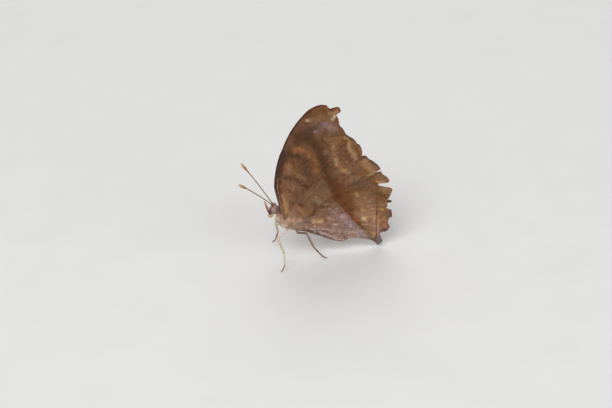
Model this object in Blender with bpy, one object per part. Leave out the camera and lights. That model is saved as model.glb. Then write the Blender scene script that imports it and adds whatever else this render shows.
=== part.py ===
"""Chocolate pansy butterfly standing at rest with its wings closed over its back, at life size.

The insect faces -X, its left side is at -Y and up is +Z. Lengths below are in millimetres and the
meshes are made in metres. Body and wings are drawn in the insect's own frame: u runs tailward,
v runs up, y is positive on the right side, and the origin is the wing base on the middle plane.
The middle plane leans a little to the right. The legs are drawn straight in the floor's frame.
"""
import math

import bmesh
import bpy
from mathutils import Matrix, Vector
from mathutils.geometry import delaunay_2d_cdt

MM = 0.001

# Stance: the wing base above the floor, the lean of the middle plane and the centring shift
BASE_HEIGHT = 10.5
LEAN = math.radians(6.0)
CENTRE_X = 8.01
CENTRE_Y = -0.37

# Every two nodes that touch keep this gap
GAP = 0.3

# Wing membrane, its veins and the spacing of its triangles
MEMBRANE_HALF = 0.25
VEIN_RISE = 0.12
VEIN_HALF_WIDTH = 0.42
VEIN_STEP = 2.3
VEIN_MARGIN = 0.55
GRID_STEP = 2.7
GRID_STEP_ROOT = 1.7
POINT_SPACING = 0.34
EDGE_STEP = 1.2

# Closed wings: the forewing's distance from the middle plane, and the hindwing's over it
FORE_LAYER = 0.5 * GAP + MEMBRANE_HALF + VEIN_RISE
LAYER_PITCH = GAP + 2.0 * (MEMBRANE_HALF + VEIN_RISE)
FLARE_REACH = 4.2
STEP_START = 0.8
STEP_WIDTH = 1.2
STEP_WIDENING = 0.14

# Body axis: it passes under the wing base and slopes down towards the tail
AXIS_POINT = Vector((1.3, 0.0, -0.35))
AXIS_SLOPE = math.radians(19.0)
NECK_START = -2.9
NECK_LIFT = 0.22
WAIST = 4.2
TAIL_END = 14.6
BODY_SIDES = 20

# Body sections as distance along the axis, half width and half height
THORAX_SECTIONS = [(-2.9, 0.80, 1.05), (-1.9, 1.20, 1.60), (-0.6, 1.85, 2.25), (0.9, 2.20, 2.75),
                   (2.4, 2.10, 2.60), (3.4, 1.80, 2.10), (4.2, 1.40, 1.50)]
ABDOMEN_SECTIONS = [(4.5, 1.38, 1.48), (5.6, 1.58, 1.66), (7.4, 1.65, 1.70), (10.0, 1.45, 1.50),
                    (12.6, 1.02, 1.05), (14.0, 0.55, 0.60), (14.6, 0.22, 0.25)]
ABDOMEN_RING = 1.45
ABDOMEN_RING_DEPTH = 0.05

# Head, eyes and mouthparts
HEAD_CENTRE = Vector((-2.20, 0.0, 2.20))
HEAD_HALF = Vector((1.10, 0.95, 1.20))
EYE_CENTRE = Vector((-2.28, 0.72, 2.30))
EYE_HALF = Vector((0.98, 0.84, 1.05))
PALP = [((-3.30, 0.43, 1.50), 0.20), ((-3.68, 0.44, 2.30), 0.28), ((-4.10, 0.46, 3.40), 0.28),
        ((-4.40, 0.48, 4.25), 0.20), ((-4.56, 0.48, 4.67), 0.10)]
COIL_CENTRE = Vector((-3.28, 0.0, 0.62))
COIL_RADIUS = 0.40
COIL_THICKNESS = 0.20
COIL_START = math.radians(60.0)
COIL_TURN = math.radians(290.0)

# Antennae: roots on the crown, tips, bow, and the radii of the shaft and the club
ANTENNA_ROOT = Vector((-2.30, 0.34, 3.52))
ANTENNA_TIPS = {"left": Vector((-10.66, -5.87, 11.83)), "right": Vector((-8.92, 5.00, 13.03))}
ANTENNA_BOW = 0.35
SHAFT_RADIUS = 0.25
CLUB_RADIUS = 0.42
CLUB_LENGTH = 2.2

# Walking legs in the floor's frame, as joints and radii after the hip
TOE_RADIUS = 0.27
LEGS = {
    "midleg_left": [((-1.87, -3.60, 6.80), 0.36), ((-1.16, -6.70, 4.18), 0.27),
                    ((-1.25, -7.55, 1.55), 0.26), ((-1.50, -7.75, 0.55), 0.25),
                    ((-2.35, -8.05, 0.19), TOE_RADIUS)],
    "midleg_right": [((-1.71, 3.80, 7.34), 0.36), ((-1.03, 6.00, 3.28), 0.27),
                     ((-1.35, 6.75, 1.50), 0.26), ((-1.75, 6.95, 0.55), 0.25),
                     ((-2.65, 7.30, 0.19), TOE_RADIUS)],
    "hindleg_left": [((5.10, -1.70, 6.30), 0.30), ((6.45, -2.75, 3.00), 0.27),
                     ((7.92, -3.30, 1.12), 0.26), ((8.55, -3.55, 0.50), 0.25),
                     ((9.45, -3.95, 0.19), TOE_RADIUS)],
    "hindleg_right": [((6.10, 2.70, 5.35), 0.30), ((9.40, 5.30, 3.25), 0.27),
                      ((11.90, 6.65, 1.40), 0.26), ((12.60, 6.95, 0.52), 0.25),
                      ((13.60, 7.25, 0.19), TOE_RADIUS)],
}
HIPS = {"midleg": (0.2, math.radians(24.0)), "hindleg": (2.6, math.radians(26.0))}
HIP_RADIUS = {"midleg": 0.40, "hindleg": 0.34}
HIP_DROP = {"midleg": 0.50, "hindleg": 0.30}
FORELEG = [((-0.95, 0.62, -1.30), 0.28), ((-1.75, 0.60, -0.62), 0.25), ((-2.15, 0.55, -0.42), 0.18)]
FORELEG_HIP = (-1.15, math.radians(20.0))
FORELEG_HIP_RADIUS = 0.30
JOINT_ROUNDING = 0.35

# Forewing outline, clockwise from the root, each point with the bulge of the edge after it
FOREWING_OUTLINE = [
    (-0.4, 0.7, 0.03), (-1.75, 7.5, 0.105), (0.9, 17.2, 0.12), (7.4, 26.0, 0.12), (10.8, 27.2, 0.10),
    (12.7, 26.4, -0.10), (13.7, 26.6, 0.05), (14.9, 26.4, 0.15), (15.3, 25.7, 0.10),
    (14.0, 24.4, 0.0), (14.6, 23.5, 0.10), (14.7, 21.9, -0.10), (15.5, 20.8, 0.10),
    (16.3, 19.2, -0.10), (17.9, 17.9, 0.12), (19.4, 16.1, 0.15), (19.7, 14.2, -0.12),
    (20.1, 12.0, 0.25), (19.6, 10.5, 0.05), (8.9, 3.6, 0.03), (0.5, -0.6, 0.30)]
# Hindwing outline, the same way, with its torn lobes, the slit between two of them and its tail
HINDWING_OUTLINE = [
    (0.3, 0.7, 0.18), (4.8, 6.0, 0.05), (12.6, 10.8, 0.03), (18.5, 13.0, 0.0), (20.6, 13.2, 0.15),
    (21.5, 12.2, 0.0), (23.2, 10.9, 0.10), (24.0, 9.95, 0.20), (22.9, 9.3, 0.0), (22.1, 8.75, 0.0),
    (22.2, 8.5, 0.0), (24.1, 9.05, 0.15), (24.9, 8.0, 0.10), (26.0, 6.8, 0.20), (25.6, 6.15, 0.0),
    (23.0, 5.85, 0.0), (24.4, 5.15, 0.0), (26.0, 4.75, 0.10), (26.78, 4.3, 0.20), (26.1, 2.7, 0.0),
    (25.2, 1.7, 0.0), (26.5, 1.15, 0.20), (25.2, 0.75, 0.0), (24.8, -0.4, 0.0), (26.2, -1.1, 0.15),
    (26.3, -2.8, 0.20), (25.4, -3.2, 0.0), (25.2, -4.5, 0.0), (25.6, -5.3, 0.20), (24.8, -6.5, 0.10),
    (23.2, -6.8, -0.10), (23.3, -7.7, 0.0), (23.8, -9.0, 0.20), (22.6, -9.85, 0.20),
    (21.4, -8.8, -0.10), (19.6, -8.0, 0.0), (17.7, -7.5, 0.0), (16.0, -7.4, -0.10),
    (14.2, -8.0, 0.15), (13.2, -7.9, 0.0), (10.7, -7.1, 0.03), (7.3, -5.3, -0.03), (2.6, -2.9, 0.20)]

# Veins: a stem from the root, then each vein as the points it bends through
FORE_ROOT = (-0.2, 0.4)
FORE_CELL_TOP = (3.0, 13.4)
FORE_CELL_END = (5.2, 11.2)
FOREWING_VEINS = [
    [FORE_ROOT, (-1.1, 6.0), (-0.8, 11.5), (0.6, 16.6)],
    [FORE_ROOT, (0.0, 6.5), FORE_CELL_TOP, (6.9, 20.9), (12.9, 25.8)],
    [(1.6, 10.7), (1.6, 15.6), (4.2, 21.6)],
    [(6.9, 20.9), (8.4, 24.3), (9.9, 26.6)],
    [FORE_CELL_TOP, (8.6, 18.6), (14.0, 23.0)],
    [FORE_CELL_TOP, FORE_CELL_END],
    [(4.3, 12.1), (9.0, 16.4), (14.9, 21.4)],
    [FORE_ROOT, (1.7, 4.6), FORE_CELL_END, (10.2, 14.7), (17.0, 18.6)],
    [(4.1, 9.2), (11.0, 12.8), (19.2, 16.1)],
    [(2.5, 6.1), (10.0, 9.6), (19.8, 13.2)],
    [FORE_ROOT, (5.2, 4.0), (19.6, 11.2)]]
HIND_ROOT = (1.7, -1.0)
HIND_CELL_TOP = (11.2, 4.3)
HIND_CELL_END = (12.2, 1.4)
HINDWING_VEINS = [
    [HIND_ROOT, (3.8, 2.8), (9.6, 7.4), (18.2, 12.2)],
    [(5.6, 2.0), (12.8, 7.0), (20.9, 12.1)],
    [HIND_ROOT, (5.6, 2.0), HIND_CELL_TOP, (16.2, 7.0), (23.0, 10.3)],
    [HIND_CELL_TOP, (17.2, 5.6), (25.2, 7.7)],
    [HIND_CELL_TOP, HIND_CELL_END],
    [HIND_ROOT, (6.6, -0.4), HIND_CELL_END, (18.4, 3.2), (26.0, 4.0)],
    [(10.6, 1.0), (17.6, 0.4), (25.6, -1.4)],
    [(7.4, -0.2), (15.4, -2.2), (24.6, -5.0)],
    [HIND_ROOT, (8.0, -2.4), (15.6, -4.8), (22.4, -8.2)]]

# The right hindwing hangs a little lower than the left one
HINDWING_TURN = {"left": 0.0, "right": math.radians(-0.5)}

# Colours as linear RGB, with roughness
FINISHES = {
    "wing_scales": ((0.125, 0.062, 0.034), 0.85),
    "body_fur": ((0.300, 0.195, 0.130), 0.90),
    "eye_facets": ((0.120, 0.080, 0.085), 0.25),
    "leg_scales": ((0.520, 0.400, 0.280), 0.60),
    "antenna_shaft": ((0.130, 0.110, 0.045), 0.50),
    "palp_scales": ((0.300, 0.120, 0.090), 0.80),
    "proboscis_amber": ((0.480, 0.190, 0.050), 0.40)}


def clear_scene():
    for obj in list(bpy.data.objects):
        bpy.data.objects.remove(obj, do_unlink=True)


def make_materials():
    """One Principled material for each finish."""
    materials = {}
    for name, (colour, roughness) in FINISHES.items():
        material = bpy.data.materials.new(name)
        material.use_nodes = True
        shader = material.node_tree.nodes["Principled BSDF"]
        shader.inputs["Base Color"].default_value = (*colour, 1.0)
        shader.inputs["Roughness"].default_value = roughness
        shader.inputs["Metallic"].default_value = 0.0
        materials[name] = material
    return materials


def make_collection(name):
    collection = bpy.data.collections.new(name)
    bpy.context.scene.collection.children.link(collection)
    return collection


def make_empty(name, collection, parent=None):
    empty = bpy.data.objects.new(name, None)
    empty.parent = parent
    collection.objects.link(empty)
    return empty


def finish_mesh(bm, name, collection, parent, material):
    """Write a bmesh drawn in millimetres to a new object in metres."""
    bmesh.ops.scale(bm, vec=(MM, MM, MM), verts=bm.verts)
    bmesh.ops.recalc_face_normals(bm, faces=bm.faces)
    mesh = bpy.data.meshes.new(name)
    bm.to_mesh(mesh)
    bm.free()
    mesh.materials.append(material)
    mesh.shade_smooth()
    mesh.set_sharp_from_angle(angle=math.radians(40.0))
    obj = bpy.data.objects.new(name, mesh)
    obj.parent = parent
    collection.objects.link(obj)
    return obj


def smoothstep(x):
    x = min(max(x, 0.0), 1.0)
    return x * x * (3.0 - 2.0 * x)


def section_at(sections, along):
    """Half width and half height at a distance along the axis, smooth through the sections."""
    last = len(sections) - 2
    index = 0
    while index < last and along > sections[index + 1][0]:
        index += 1
    before = sections[max(index - 1, 0)]
    start = sections[index]
    end = sections[index + 1]
    after = sections[min(index + 2, last + 1)]
    span = end[0] - start[0]
    t = min(max((along - start[0]) / span, 0.0), 1.0)
    halves = []
    for part in (1, 2):
        slope_a = (end[part] - before[part]) / (end[0] - before[0]) * span
        slope_b = (after[part] - start[part]) / (after[0] - start[0]) * span
        value = ((2 * t**3 - 3 * t**2 + 1) * start[part] + (t**3 - 2 * t**2 + t) * slope_a
                 + (3 * t**2 - 2 * t**3) * end[part] + (t**3 - t**2) * slope_b)
        halves.append(value)
    return halves


AXIS = Vector((math.cos(AXIS_SLOPE), 0.0, -math.sin(AXIS_SLOPE)))
AXIS_UP = Vector((math.sin(AXIS_SLOPE), 0.0, math.cos(AXIS_SLOPE)))


def axis_centre(along):
    """Point of the body's centre line, which rises towards the neck."""
    lift = NECK_LIFT * max(-along - 0.5, 0.0) ** 1.5
    return AXIS_POINT + AXIS * along + AXIS_UP * lift


def body_surface(along, roll, side):
    """Point on the thorax and its outward direction, rolled from the belly towards one side."""
    half_width, half_height = section_at(THORAX_SECTIONS, along)
    across = Vector((0.0, side, 0.0))
    point = (axis_centre(along) - AXIS_UP * (half_height * math.cos(roll))
             + across * (half_width * math.sin(roll)))
    outward = -AXIS_UP * (math.cos(roll) / half_height) + across * (math.sin(roll) / half_width)
    return point, outward.normalized()


def barrel(name, sections, rings, collection, parent, material, ring_pitch=None):
    """Body piece with flat ends: a cylinder whose rings are set to the body's sections."""
    bm = bmesh.new()
    bmesh.ops.create_cone(bm, cap_ends=True, segments=BODY_SIDES, radius1=1.0, radius2=1.0, depth=1.0)
    uprights = [e for e in bm.edges if abs(e.verts[0].co.z - e.verts[1].co.z) > 0.5]
    bmesh.ops.subdivide_edges(bm, edges=uprights, cuts=rings, use_grid_fill=True)
    first = sections[0][0]
    last = sections[-1][0]
    for vert in bm.verts:
        along = first + (last - first) * (vert.co.z + 0.5)
        half_width, half_height = section_at(sections, along)
        swell = 1.0
        if ring_pitch:
            phase = (along - first) / ring_pitch
            swell = 1.0 - ABDOMEN_RING_DEPTH * (0.5 + 0.5 * math.cos(2.0 * math.pi * phase))
        angle = math.atan2(vert.co.y, vert.co.x)
        vert.co = (axis_centre(along) + AXIS_UP * (half_height * swell * math.cos(angle))
                   + Vector((0.0, half_width * swell * math.sin(angle), 0.0)))
    return finish_mesh(bm, name, collection, parent, material)


def ellipsoid(bm, centre, half, segments, rings):
    """Add an ellipsoid with its poles across the body and return its vertices."""
    matrix = Matrix.Translation(centre) @ Matrix.Diagonal((*half, 1.0)) @ Matrix.Rotation(
        math.radians(90.0), 4, "X")
    made = bmesh.ops.create_uvsphere(bm, u_segments=segments, v_segments=rings, radius=1.0,
                                     matrix=matrix)
    return made["verts"]


def cut_flat(bm, point, normal):
    """Cut a closed bmesh by a plane, drop what lies along the normal and close the cut."""
    geometry = bm.verts[:] + bm.edges[:] + bm.faces[:]
    cut = bmesh.ops.bisect_plane(bm, geom=geometry, dist=1e-5, plane_co=point, plane_no=normal,
                                 clear_outer=True)
    edges = [g for g in cut["geom_cut"] if isinstance(g, bmesh.types.BMEdge)]
    bmesh.ops.holes_fill(bm, edges=edges, sides=0)


def make_head(collection, cutters, parent, material):
    """Head with a flat neck and two round sockets that the eyes sit in."""
    bm = bmesh.new()
    ellipsoid(bm, HEAD_CENTRE, HEAD_HALF, 24, 14)
    cut_flat(bm, axis_centre(NECK_START) - AXIS * GAP, AXIS)
    head = finish_mesh(bm, "head", collection, parent, material)
    for side in (-1.0, 1.0):
        bm = bmesh.new()
        centre = Vector((EYE_CENTRE.x, side * EYE_CENTRE.y, EYE_CENTRE.z))
        grown = EYE_HALF + Vector((GAP, GAP, GAP))
        ellipsoid(bm, centre, grown, 24, 14)
        cut_flat(bm, centre - Vector((0.0, side * GAP, 0.0)), Vector((0.0, -side, 0.0)))
        cutter = finish_mesh(bm, "socket_cutter", cutters, parent, material)
        cutter.hide_render = True
        cutter.display_type = "WIRE"
        cut = head.modifiers.new("eye socket", "BOOLEAN")
        cut.operation = "DIFFERENCE"
        cut.object = cutter


def make_eye(name, side, collection, parent, material):
    """Domed compound eye with a flat back, a little clear of its socket."""
    bm = bmesh.new()
    centre = Vector((EYE_CENTRE.x, side * EYE_CENTRE.y, EYE_CENTRE.z))
    ellipsoid(bm, centre, EYE_HALF, 20, 12)
    cut_flat(bm, centre, Vector((0.0, -side, 0.0)))
    return finish_mesh(bm, name, collection, parent, material)


def round_joints(joints):
    """Path through the joints as points and radii, each inner joint eased by a short curve."""
    path = [(Vector(joints[0][0]), joints[0][1])]
    for index in range(1, len(joints) - 1):
        corner = Vector(joints[index][0])
        radius = joints[index][1]
        arms = []
        for other, other_radius in (joints[index - 1], joints[index + 1]):
            way = Vector(other) - corner
            reach = min(JOINT_ROUNDING, 0.3 * way.length)
            share = reach / way.length
            arms.append((corner + way * share, radius + (other_radius - radius) * share))
        middle = (arms[0][0] + 2.0 * corner + arms[1][0]) / 4.0
        path += [arms[0], (middle, radius), arms[1]]
    path.append((Vector(joints[-1][0]), joints[-1][1]))
    return path


def make_tube(name, path, collection, parent, material):
    """Limb or feeler as a curve with a radius at each point."""
    curve = bpy.data.curves.new(name, "CURVE")
    curve.dimensions = "3D"
    curve.bevel_depth = MM
    curve.bevel_resolution = 2
    curve.use_fill_caps = True
    spline = curve.splines.new("POLY")
    spline.points.add(len(path) - 1)
    for point, (place, radius) in zip(spline.points, path):
        point.co = (*(place * MM), 1.0)
        point.radius = radius
    curve.materials.append(material)
    obj = bpy.data.objects.new(name, curve)
    obj.parent = parent
    collection.objects.link(obj)
    return obj


def make_leg(name, path, collection, parent, material):
    """Walking leg as a tube whose toe is cut flat at the floor."""
    tube = make_tube(name + "_tube", path, collection, None, material)
    bpy.context.view_layer.update()
    solid = bpy.data.meshes.new_from_object(tube.evaluated_get(bpy.context.evaluated_depsgraph_get()))
    bpy.data.objects.remove(tube, do_unlink=True)
    bm = bmesh.new()
    bm.from_mesh(solid)
    bmesh.ops.remove_doubles(bm, verts=bm.verts, dist=1e-6)
    bmesh.ops.scale(bm, vec=(1.0 / MM,) * 3, verts=bm.verts)
    cut_flat(bm, Vector((0.0, 0.0, 0.0)), Vector((0.0, 0.0, -1.0)))
    return finish_mesh(bm, name, collection, parent, material)


def trace_outline(nodes):
    """Points along an outline whose edges are straight or, by their bulge, arcs."""
    points = []
    for index, (u, v, bulge) in enumerate(nodes):
        start = Vector((u, v))
        end = Vector(nodes[(index + 1) % len(nodes)][:2])
        chord = end - start
        left = Vector((-chord.y, chord.x)) * 0.5
        steps = max(1, round(chord.length / EDGE_STEP))
        for step in range(steps):
            t = step / steps
            arch = 4.0 * t * (1.0 - t) * bulge
            points.append(start + chord * t + left * arch)
    return points


def nearest_on(segment_start, segment_end, point):
    """Distance from a point to a straight segment."""
    way = segment_end - segment_start
    t = (point - segment_start).dot(way) / max(way.length_squared, 1e-9)
    t = min(max(t, 0.0), 1.0)
    return (point - (segment_start + way * t)).length


def inside(outline, point):
    """Even-odd test of a point against a closed outline."""
    hit = False
    for index, a in enumerate(outline):
        b = outline[index - 1]
        if (a.y > point.y) != (b.y > point.y):
            crossing = a.x + (point.y - a.y) / (b.y - a.y) * (b.x - a.x)
            if point.x < crossing:
                hit = not hit
    return hit


def edge_distance(outline, point):
    return min(nearest_on(outline[i - 1], outline[i], point) for i in range(len(outline)))


def vein_line(bends, step):
    """Even points along a vein, smooth through the places it bends at."""
    knots = [Vector(b) for b in bends]
    line = []
    for index in range(len(knots) - 1):
        before = knots[max(index - 1, 0)]
        start = knots[index]
        end = knots[index + 1]
        after = knots[min(index + 2, len(knots) - 1)]
        steps = max(1, round((end - start).length / step))
        for number in range(steps):
            t = number / steps
            line.append(0.5 * (2.0 * start + (end - before) * t
                               + (2.0 * before - 5.0 * start + 4.0 * end - after) * t**2
                               + (3.0 * start - before - 3.0 * end + after) * t**3))
    line.append(knots[-1])
    return line


def axis_distance(u, v):
    """Place along the body axis and height above it of a point of the middle plane."""
    way = Vector((u, 0.0, v)) - AXIS_POINT
    return way.dot(AXIS), way.dot(AXIS_UP)


def forewing_layer(u, v):
    """Distance of the wing's middle surface from the middle plane, spread round the body."""
    along, height = axis_distance(u, v)
    widest = THORAX_SECTIONS[3]
    if along < widest[0]:
        half_width = widest[1]
    elif along < WAIST:
        half_width = section_at(THORAX_SECTIONS, along)[0]
    else:
        half_width = section_at(ABDOMEN_SECTIONS, along)[0]
    half_width *= 1.0 - smoothstep((along - TAIL_END + 1.0) / 4.0)
    waist_bridge = 0.25 * math.exp(-((along - WAIST) / 1.2) ** 2)
    spread = half_width + waist_bridge + 0.5 * GAP
    return FORE_LAYER + spread * math.exp(-(height / FLARE_REACH) ** 2)


def hindwing_layer(u, v):
    """The hindwing lies over the forewing and steps in towards the body below its inner edge."""
    edge_a = Vector(FOREWING_OUTLINE[-1][:2])
    edge_b = Vector(FOREWING_OUTLINE[-3][:2])
    way = (edge_b - edge_a).normalized()
    below = (Vector((u, v)) - edge_a).dot(Vector((way.y, -way.x)))
    width = STEP_WIDTH + STEP_WIDENING * max(u, 0.0)
    lift = 1.0 - smoothstep((below - STEP_START) / width)
    return forewing_layer(u, v) + LAYER_PITCH * lift


def turned(points, root, turn):
    """Turn outline nodes or vein bends about the wing's root."""
    centre = Vector(root)
    rotation = Matrix.Rotation(turn, 2)
    result = []
    for point in points:
        place = centre + rotation @ (Vector(point[:2]) - centre)
        result.append((place.x, place.y, *point[2:]))
    return result


def wing_plan(outline_nodes, vein_bends):
    """Triangles of the wing's plan, with edges along its rim and along its veins."""
    outline = trace_outline(outline_nodes)
    points = list(outline)
    edges = []
    veins = []

    def add_line(line):
        previous = None
        for point in line:
            if not inside(outline, point) or edge_distance(outline, point) < VEIN_MARGIN:
                previous = None
                continue
            near = [i for i, p in enumerate(points) if (p - point).length < POINT_SPACING]
            if near:
                number = near[0]
            else:
                number = len(points)
                points.append(point)
            if previous is not None and previous != number:
                edges.append((previous, number))
            previous = number

    for bends in vein_bends:
        line = vein_line(bends, VEIN_STEP)
        veins.append(line)
        add_line(line)
    for line in veins:
        for hand in (-1.0, 1.0):
            shifted = []
            for index, point in enumerate(line):
                way = line[min(index + 1, len(line) - 1)] - line[max(index - 1, 0)]
                normal = Vector((-way.y, way.x)).normalized()
                shifted.append(point + normal * (hand * VEIN_HALF_WIDTH))
            add_line(shifted)
    fill_plan(points, outline)
    rim = list(range(len(outline)))
    plan = delaunay_2d_cdt(points, edges, [rim], 1, 0.02)
    return plan[0], plan[2], veins


def fill_plan(points, outline):
    """Add even points between the veins, closer together near the body."""
    low_u = min(p.x for p in outline)
    high_u = max(p.x for p in outline)
    low_v = min(p.y for p in outline)
    high_v = max(p.y for p in outline)
    for spacing in (GRID_STEP_ROOT, GRID_STEP):
        rows = int((high_v - low_v) / (0.87 * spacing)) + 1
        columns = int((high_u - low_u) / spacing) + 1
        for row in range(rows):
            for column in range(columns):
                point = Vector((low_u + (column + 0.5 * (row % 2)) * spacing,
                                low_v + row * 0.87 * spacing))
                height = abs(axis_distance(*point)[1])
                if (height < FLARE_REACH) != (spacing == GRID_STEP_ROOT):
                    continue
                if not inside(outline, point) or edge_distance(outline, point) < 0.35 * spacing:
                    continue
                if min((p - point).length for p in points) > 0.55 * spacing:
                    points.append(point)


def vein_rise(veins, point):
    """Height of the ridge at a point: full on a vein, none at its sides."""
    nearest = min(nearest_on(line[i], line[i + 1], point)
                  for line in veins for i in range(len(line) - 1))
    return VEIN_RISE * max(0.0, 1.0 - nearest / (0.9 * VEIN_HALF_WIDTH))


def make_wing(name, side, plan, layer, collection, parent, material):
    """One wing: the same triangles on both faces, with the veins raised on each."""
    points, triangles, veins = plan
    bm = bmesh.new()
    sheet = [bm.verts.new((p.x, 0.0, p.y)) for p in points]
    for triangle in triangles:
        bm.faces.new([sheet[i] for i in triangle])
    doubled = bmesh.ops.extrude_face_region(bm, geom=bm.faces[:], use_keep_orig=True)
    outer = {g for g in doubled["geom"] if isinstance(g, bmesh.types.BMVert)}
    for vert in bm.verts:
        u, v = vert.co.x, vert.co.z
        half = MEMBRANE_HALF + vein_rise(veins, Vector((u, v)))
        if vert not in outer:
            half = -half
        vert.co.y = side * (layer(u, v) + half)
    bmesh.ops.triangulate(bm, faces=[f for f in bm.faces if len(f.verts) > 3])
    return finish_mesh(bm, name, collection, parent, material)


def antenna_path(root, tip):
    """Slightly bowed shaft that swells to a club at its tip."""
    way = tip - root
    bow = Vector((0.0, 0.0, ANTENNA_BOW))
    shaft_end = 1.0 - CLUB_LENGTH / way.length
    path = []
    for t in (0.0, 0.2, 0.4, 0.6, shaft_end):
        path.append((root + way * t + bow * (4.0 * t * (1.0 - t)), SHAFT_RADIUS))
    for share, radius in ((0.3, 0.75), (0.6, 1.0), (0.85, 0.9), (1.0, 0.45)):
        t = shaft_end + (1.0 - shaft_end) * share
        path.append((root + way * t + bow * (4.0 * t * (1.0 - t)), CLUB_RADIUS * radius))
    return path


def coil_path():
    """Tongue curled under the face, open so that its turn doesn't meet itself."""
    path = []
    steps = 14
    for step in range(steps + 1):
        angle = COIL_START + COIL_TURN * step / steps
        offset = Vector((math.cos(angle), 0.0, math.sin(angle))) * COIL_RADIUS
        path.append((COIL_CENTRE + offset, COIL_THICKNESS))
    return path


def build():
    clear_scene()
    materials = make_materials()
    butterfly = make_collection("chocolate_pansy_butterfly")
    cutters = make_collection("cutters")
    stance = make_empty("stance", butterfly)
    stance.location = (-CENTRE_X * MM, -CENTRE_Y * MM, 0.0)
    insect = make_empty("insect", butterfly, stance)
    insect.location = (0.0, 0.0, BASE_HEIGHT * MM)
    insect.rotation_euler = (-LEAN, 0.0, 0.0)
    to_floor = Matrix.Translation((0.0, 0.0, BASE_HEIGHT)) @ Matrix.Rotation(-LEAN, 4, "X")

    fur = materials["body_fur"]
    barrel("thorax", THORAX_SECTIONS, 11, butterfly, insect, fur)
    barrel("abdomen", ABDOMEN_SECTIONS, 21, butterfly, insect, fur, ABDOMEN_RING)
    make_head(butterfly, cutters, insect, fur)
    make_tube("proboscis", coil_path(), butterfly, insect, materials["proboscis_amber"])

    fore_plan = wing_plan(FOREWING_OUTLINE, FOREWING_VEINS)
    for hand, side in (("left", -1.0), ("right", 1.0)):
        turn = HINDWING_TURN[hand]
        hind_veins = [turned(vein, HIND_ROOT, turn) for vein in HINDWING_VEINS]
        hind_plan = wing_plan(turned(HINDWING_OUTLINE, HIND_ROOT, turn), hind_veins)
        mirror = Matrix.Scale(side, 4, (0.0, 1.0, 0.0))
        make_wing(f"forewing_{hand}", side, fore_plan, forewing_layer, butterfly, insect,
                  materials["wing_scales"])
        make_wing(f"hindwing_{hand}", side, hind_plan, hindwing_layer, butterfly, insect,
                  materials["wing_scales"])
        make_eye(f"eye_{hand}", side, butterfly, insect, materials["eye_facets"])
        palp = [(mirror @ Vector(place), radius) for place, radius in PALP]
        make_tube(f"palp_{hand}", palp, butterfly, insect, materials["palp_scales"])
        root = mirror @ ANTENNA_ROOT
        make_tube(f"antenna_{hand}", antenna_path(root, ANTENNA_TIPS[hand]), butterfly, insect,
                  materials["antenna_shaft"])
        hip, outward = body_surface(*FORELEG_HIP, side)
        foreleg = [(hip + outward * GAP, FORELEG_HIP_RADIUS)]
        foreleg += [(mirror @ Vector(place), radius) for place, radius in FORELEG]
        make_tube(f"foreleg_{hand}", round_joints(foreleg), butterfly, insect,
                  materials["leg_scales"])
        for pair, place in HIPS.items():
            hip, outward = body_surface(*place, side)
            start = to_floor @ (hip + outward * GAP)
            drop = to_floor @ (hip + outward * (GAP + HIP_DROP[pair]))
            joints = [(start, HIP_RADIUS[pair]), (drop, HIP_RADIUS[pair])]
            joints += LEGS[f"{pair}_{hand}"]
            make_leg(f"{pair}_{hand}", round_joints(joints), butterfly, stance,
                     materials["leg_scales"])


build()
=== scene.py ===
"""Chocolate pansy butterfly at rest with its wings closed, as a life-size museum model.

The insect faces -X with its left side at -Y. Its own frame is used for body and wings: u runs
tailward, v runs up, y is positive on the right side and the origin is the wing base. Lengths are
in millimetres until a piece is finished, when its mesh is placed in the part's frame in metres.
"""
import math

import bmesh
import bpy
import numpy as np
from mathutils import Matrix, Vector, noise


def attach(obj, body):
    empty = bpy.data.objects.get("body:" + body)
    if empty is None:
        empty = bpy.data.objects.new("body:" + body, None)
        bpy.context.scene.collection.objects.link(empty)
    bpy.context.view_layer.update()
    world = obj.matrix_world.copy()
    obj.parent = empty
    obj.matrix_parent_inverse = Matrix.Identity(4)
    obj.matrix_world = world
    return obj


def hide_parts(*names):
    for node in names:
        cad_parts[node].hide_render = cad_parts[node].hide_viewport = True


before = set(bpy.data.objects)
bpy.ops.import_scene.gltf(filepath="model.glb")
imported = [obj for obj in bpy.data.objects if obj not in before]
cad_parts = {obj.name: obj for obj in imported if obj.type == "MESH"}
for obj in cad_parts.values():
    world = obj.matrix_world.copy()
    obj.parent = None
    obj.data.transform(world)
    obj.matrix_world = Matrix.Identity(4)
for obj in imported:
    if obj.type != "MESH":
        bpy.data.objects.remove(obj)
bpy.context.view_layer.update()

# Camera, floor and lights
# A long lens looks down on the left side from a third of a metre. The insect stands on a pale
# matt board under two broad soft lamps, with a little light from all round.
MM = 0.001
VIEW_TURN = math.radians(-7.0)
VIEW_HEIGHT = math.radians(28.0)
VIEW_ROLL = math.radians(3.0)
CAMERA_PLACE = Vector((-46.49, -358.05, 205.41)) * MM
FLOOR_HALF_WIDTH = 3.0

def linear(code):
    """sRGB hex colour as linear RGBA."""
    channels = [int(code[i:i + 2], 16) / 255.0 for i in (1, 3, 5)]
    return [c / 12.92 if c <= 0.04045 else ((c + 0.055) / 1.055) ** 2.4 for c in channels] + [1.0]


def rgb(code):
    """sRGB hex colour as three linear numbers to reckon with."""
    return np.array(linear(code)[:3])


def new_material(name):
    material = bpy.data.materials.new(name)
    material.use_nodes = True
    return material


def plug(material, node, inputs):
    """Give inputs of a node, by name or as i and a number, a value or the socket linked to them."""
    for key, value in inputs.items():
        socket = node.inputs[int(key[1:]) if key[1:].isdigit() else key.replace("_", " ")]
        if isinstance(value, bpy.types.NodeSocket):
            material.node_tree.links.new(value, socket)
        else:
            socket.default_value = value


def add_node(material, kind, settings=None, **inputs):
    """Add a node of a kind, with its properties and its inputs."""
    node = material.node_tree.nodes.new(kind)
    for key, value in (settings or {}).items():
        setattr(node, key, value)
    plug(material, node, inputs)
    return node


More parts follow.
